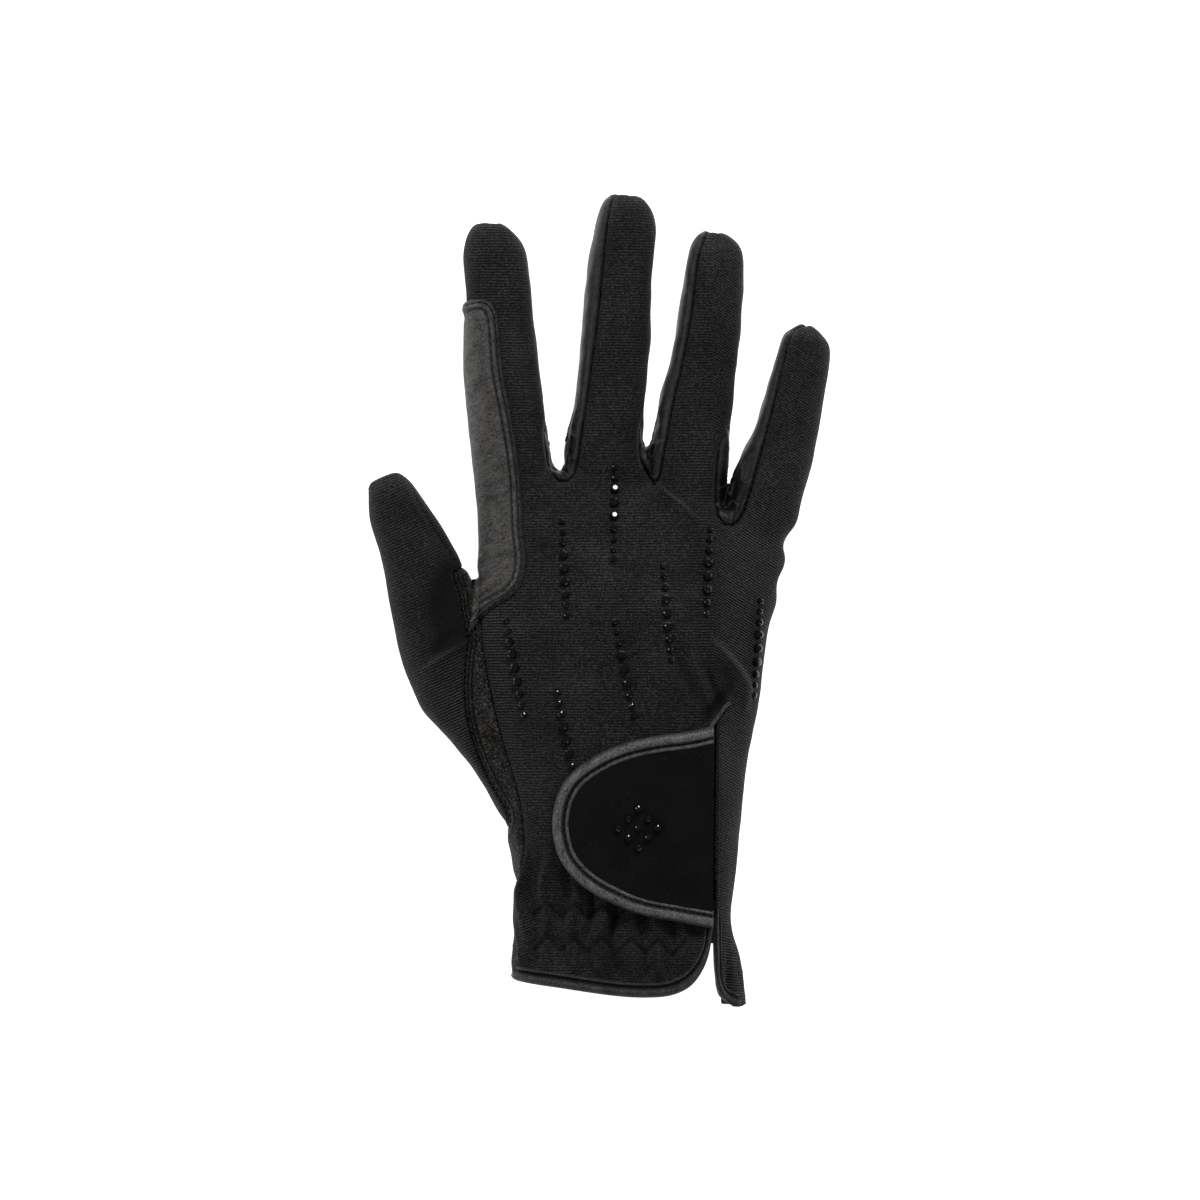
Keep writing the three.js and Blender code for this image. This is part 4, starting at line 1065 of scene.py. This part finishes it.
# The tab is stiffer than the cloth below it, so it lies over a smoothed back
bedding = {"cell": 0.8, "low": -80, "high": -8, "spans": 60, "smoothing": 20, "above": 0.35}
across = np.arange(tabStart - tab["length"] - 4, tabStart + 2, bedding["cell"])
gridX, gridY = np.meshgrid(across, np.arange(bedding["low"], bedding["high"], bedding["cell"]))
seats = np.array([topAt(px, py)[0] for px, py in zip(gridX.ravel(), gridY.ravel())]).reshape(gridX.shape)
for _ in range(bedding["spans"]):
    seats = np.maximum(seats, around(seats))
for _ in range(bedding["smoothing"]):
    seats = around(seats)
number = np.arange(seats.size).reshape(seats.shape)
a, b, c, d = number[:-1, :-1], number[:-1, 1:], number[1:, 1:], number[1:, :-1]
gridFaces = np.concatenate([np.stack(corners, -1).reshape(-1, 3) for corners in ([a, b, c], [a, c, d])])
bed = Cloth(np.stack([gridX.ravel(), gridY.ravel(), seats.ravel() + bedding["above"]], axis=1), gridFaces)
bedTree = bed.tree()
lid = Cloth(bed.points + [0, 0, tab["thickness"] - 0.7], gridFaces)
lidField = away(lid.points, tabFar, True)
lid.values["edge"] = lidField
lid = biggest(lid.cut(np.minimum(lidField - tab["inset"], tabStart - 0.1 - lid.points[:, 0]))).refined()
dress(walled("suedeTab", lid, tab["wall"]), "suede", "closure_tab")
lidTree = lid.tree()
tabPiece, tabTrack, tabSide, tabUp = sweep(
    "leatherTabEdge", tabLine, profileOf(tab["roll"]), bedTree, smoothing=tab["smoothing"],
    stitchAt=tab["stitchAt"], shine=tab["shine"],
)
ventPlane = {"plane_co": (tabStart * mm, 0, 0), "plane_no": (1, 0, 0)}
edited(tabPiece, lambda: bpy.ops.mesh.bisect(**ventPlane, use_fill=True, clear_outer=True))
dress(tabPiece, "rolled", "tab_binding")

# The piping at the top of the vent
piping = {"line": [[25.6, -17.0], [27.4, -14.4], [29.2, -11.8], [31.4, -9.4]], "radius": 0.55, "rise": 1.7,
          "sunk": 0.5, "smoothing": 12}
turns = np.linspace(0, 2 * np.pi, 12, endpoint=False)[::-1]
pipe = piping["radius"] * np.stack([np.cos(turns), np.sin(turns) + piping["rise"]], axis=1)
backTree = back.tree()
pipeLine = []
for px, py in smoothLine(piping["line"], 0.6):
    heights = [topAt(px + dx, py + dy, backTree)[0] for dx in (-1, 0, 1) for dy in (-1, 0, 1)]
    pipeLine.append([px, py, max(heights) - piping["sunk"], 0, 0, 1])
pipePiece, *_ = sweep("leatherVentPiping", np.array(pipeLine), pipe, smoothing=piping["smoothing"])
dress(pipePiece, "hem")
print("tab")


bpy.ops.mesh.primitive_uv_sphere_add(segments=6, ring_count=4, radius=0.5)
stitchPoints, stitchFaces = template(bpy.context.active_object)


def stitches(name, path, up, length, space, thick=0.32, lift=0.05):
    path, up = np.asarray(path, float), np.asarray(up, float)
    far = np.concatenate([[0], np.cumsum(np.linalg.norm(np.diff(path, axis=0), axis=1))])
    at = lambda s, rows: np.array([np.interp(s, far, rows[:, i]) for i in range(3)])
    copies = []
    for start in np.arange(0.2, far[-1] - length, length + space):
        a, b = at(start, path), at(start + length, path)
        normal = at(start + length / 2, up)
        along = (b - a) / max(np.linalg.norm(b - a), 1e-6)
        side = np.cross(normal, along)
        side /= np.linalg.norm(side)
        normal = np.cross(along, side)
        base = (a + b) / 2 + normal * lift
        local = stitchPoints * [length, thick, thick]
        points = base
        for row, way in zip(local.T, (along, side, normal)):
            points = points + np.outer(row, way)
        copies.append((points, stitchFaces))
    return dress(meshPiece(name, *joined(copies)), "thread")


def shifted(line, distance):  # a line moved to its left
    way = np.gradient(np.asarray(line, float), axis=0)
    way /= np.linalg.norm(way, axis=1)[:, None]
    return line + np.stack([-way[:, 1], way[:, 0]], axis=1) * distance


sewn = {  # the length of a stitch, the space after it, and how far the row lies up on its binding
    "tab": [1.5, 0.5, 1.25],
    "hem": [1.5, 0.5, 0.3],
    "flap": [1.3, 0.5, 0.3],
    "patch": [1.7, 0.6],
    "zigzag": [1.1, 0.4, 0.46],  # and here how thick it is
}
length, space, rise = sewn["tab"]
stitches("threadTab", tabTrack + tabSide * tab["stitchAt"] + tabUp * rise, tabUp, length, space)
length, space, rise = sewn["hem"]
cuffRow = hem["cuffStitch"] - hem["cuffStitch"] * hem["cuffNarrow"] * narrow[:, None]
stitches("threadHem", cuffTrack + cuffSide * cuffRow + cuffUp * rise, cuffUp, length, space)
length, space, rise = sewn["flap"]
flapRow = hem["flapStitch"] * broad[:, None]
stitches("threadFlap", flapTrack + flapSide * flapRow + flapUp * rise, flapUp, length, space)


def seamStitches(name, line, lowest=4.0, tree=None, length=1.5, space=0.55, lift=0.1, thick=0.34):
    path, up = onSurface(line, tree)
    keep = (path[:, 2] > lowest) & (up[:, 2] > 0.15)
    return stitches(name, path[keep], up[keep], length, space, thick, lift)


for name, line in nearLines.items():
    seamStitches(f"thread{name.title()}Seam", line)
    seamStitches(f"thread{name.title()}Edge", shifted(line, -0.95), lift=-0.05, thick=0.26)
seamStitches("threadStripSeam", stripLine)
seamStitches("threadThumbSeam", thumbLine)
seamStitches("threadThumbEdge", shifted(thumbLine, -1.15))
seamStitches("threadThumbSide", smoothLine(thumbSide))
ventLine = smoothLine([[28.6, -14.5], [28.2, -20], [28.3, -45], [28.1, -71]], 0.8)
seamStitches("threadVent", ventLine, tree=backTree, lift=0.05)
seamStitches("threadVentEdge", ventLine + [0.9, 0], tree=backTree, lift=-0.05, thick=0.28)
for number, line in enumerate(zigzagLines):
    path, up = onSurface(line)
    stitches(f"threadZigzag{number + 1}", path, up, *sewn["zigzag"])
topEdge = patchEdge[patchEdge[:, 0] < 0]
for number, distance in enumerate(leathers["patch"]["rows"]):
    inward = shifted(topEdge, -distance)
    inside = away(inward, patchOutline, True) > distance - 0.15
    path, up = onSurface(inward[inside], patchTree)
    keep = path[:, 2] > 6
    stitches(f"threadPatch{number + 1}", path[keep], up[keep], *sewn["patch"])
print("stitches")

# The stones: graduated rows on the back, and a lozenge on the tab
stoneSizes = {"small": 1.9, "medium": 2.3, "large": 2.9}
stoneShape = {"height": 0.42, "girdle": 0.84, "table": 0.17, "crown": 0.12, "space": 1.0, "lift": 0.1,
              "tilt": 0.16, "reach": 1.2}
stoneRows = [  # top end across and up, drift, how many, where the largest are
    [-0.386, 0.102, 0.19, 9, 4], [-0.197, 0.306, 0.05, 9, 4], [-0.017, 0.421, -0.02, 9, 3],
    [0.146, 0.215, 0.08, 9, 4], [0.304, 0.29, -0.05, 8, 4], [0.474, 0.142, -0.07, 9, 4],
    [-0.017, 0.1, 0.2, 9, 4], [-0.213, -0.046, 0.2, 7, 4],
]


def cutStone():  # an eight-sided crown with a table, modelled once
    height, girdle = stoneShape["height"], stoneShape["girdle"]
    bpy.ops.mesh.primitive_cylinder_add(vertices=8, radius=0.5, depth=height, location=(0, 0, 0))
    made = bpy.context.active_object
    bpy.ops.object.mode_set(mode="EDIT")
    bpy.ops.mesh.select_all(action="DESELECT")
    bpy.ops.object.mode_set(mode="OBJECT")
    for face in made.data.polygons:
        face.select = face.normal.z > 0.9
    bpy.ops.object.mode_set(mode="EDIT")
    bpy.ops.transform.resize(value=(girdle, girdle, 1))
    bpy.ops.mesh.inset(thickness=stoneShape["table"], depth=stoneShape["crown"])
    bpy.ops.transform.rotate(value=math.pi / 8, orient_axis="Z", center_override=(0, 0, 0))
    bpy.ops.object.mode_set(mode="OBJECT")
    points, faces = template(made)
    return points - [0, 0, points[:, 2].min()], faces


stonePoints, stoneFaces = cutStone()


def stoneField(name, places, tree, node):
    reach = stoneShape["reach"]
    copies = []
    for px, py, size, turn in places:
        height = topAt(px, py, tree)[0]
        left, right, low, high = (
            topAt(px + dx, py + dy, tree)[0] for dx, dy in ((-reach, 0), (reach, 0), (0, -reach), (0, reach))
        )
        up = Vector((left - right, low - high, 2 * reach)).normalized()
        turned = Matrix.Rotation(turn, 3, "Z")
        sway = noise.noise_vector(Vector((px * 3.1, py * 2.7, 1))) * stoneShape["tilt"]
        tilt = (up + Vector((sway.x, sway.y, 0))).normalized().to_track_quat("Z", "Y").to_matrix() @ turned
        base = Vector((px, py, height)) + up * stoneShape["lift"]
        copies.append(([list(base + tilt @ (Vector(p) * size)) for p in stonePoints.tolist()], stoneFaces))
    piece = meshPiece(name, *joined(copies))
    piece.data.polygons.foreach_set("use_smooth", [False] * len(piece.data.polygons))
    return dress(piece, "crystal", node)


falloff = ["large", "large", "medium", "small"]
for number, (across, up, drift, count, largest) in enumerate(stoneRows):
    px, py = onHand(across, up)
    places, far = [], -stoneSizes["small"] / 2
    for i in range(count):
        size = stoneSizes[falloff[min(abs(i - largest), 3)]]
        middle = far + size / 2
        far += size + stoneShape["space"]
        places.append((px + drift * middle, py - middle, size, math.atan(drift)))
    stoneField(f"stoneRow{number + 1}", places, surface, f"stone_row_{number + 1}")
lozenge = {"side": 3, "step": 2.8, "size": 2.3, "across": 0.47, "up": -0.02}
middleX = tabStart - lozenge["across"] * tab["length"]
middleY = tabMiddle + lozenge["up"] * tab["width"]
count, step = lozenge["side"], lozenge["step"]
places = [
    (middleX + (i - j) * step, middleY + (count - 1 - i - j) * step, lozenge["size"], 0)
    for i in range(count)
    for j in range(count)
]
stoneField("tabStones", places, lidTree, "tab_stones")
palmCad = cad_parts["palm_binding"]
palmCad.data.materials.clear()
palmCad.data.materials.append(finishes["under"])
print("stones")

# A white table, soft light and the camera straight above
stage = {
    "floor": 3.0, "glow": 1.0, "white": (1.0, 1.0, 1.0), "offWhite": (0.985, 0.985, 0.985), "world": 0.16,
    "lights": {  # place and size in metres, and power
        "keyLight": [(0.25, 1.0, 0.85), 0.3, 11],
        "leftLight": [(-1.0, 0.2, 0.75), 0.4, 4],
        "lowLight": [(0.5, -0.9, 0.9), 0.5, 1.2],
        "glintLight": [(0.16, 0.2, 1.5), 0.06, 0.6],
    },
    "centre": (-5.8, 20.3), "height": 1.944, "lens": 200, "sensor": 36,
}
bpy.ops.mesh.primitive_plane_add(size=stage["floor"], location=(0, 0, -0.00005))
floor = bpy.context.active_object
floor.name = "whiteTable"
floorLook = Finish("whiteTable", **{"Roughness": 0.9, "Emission Strength": stage["glow"]})
floorTone = floorLook.mix(floorLook.noise(floorLook.place(8.0), 1.0), stage["offWhite"], stage["white"])
floor.data.materials.append(floorLook.paint(Base_Color=floorTone, Emission_Color=floorTone))

world = bpy.data.worlds.new("studio")
bpy.context.scene.world = world
world.use_nodes = True
world.node_tree.nodes["Background"].inputs["Color"].default_value = (1, 1, 1, 1)
world.node_tree.nodes["Background"].inputs["Strength"].default_value = stage["world"]

for name, (place, size, power) in stage["lights"].items():
    data = bpy.data.lights.new(name, "AREA")
    data.shape, data.size, data.energy = "SQUARE", size, power
    lamp = bpy.data.objects.new(name, data)
    lamp.location = place
    lamp.rotation_euler = (-Vector(place)).to_track_quat("-Z", "Y").to_euler()
    bpy.context.scene.collection.objects.link(lamp)

centreX, centreY = stage["centre"]
bpy.ops.object.camera_add(location=(centreX * mm, centreY * mm, stage["height"]), rotation=(0, 0, 0))
camera = bpy.context.active_object
camera.data.lens = stage["lens"]
camera.data.sensor_width = stage["sensor"]
bpy.context.scene.camera = camera
bpy.context.scene.view_settings.view_transform = "Standard"

print("done")
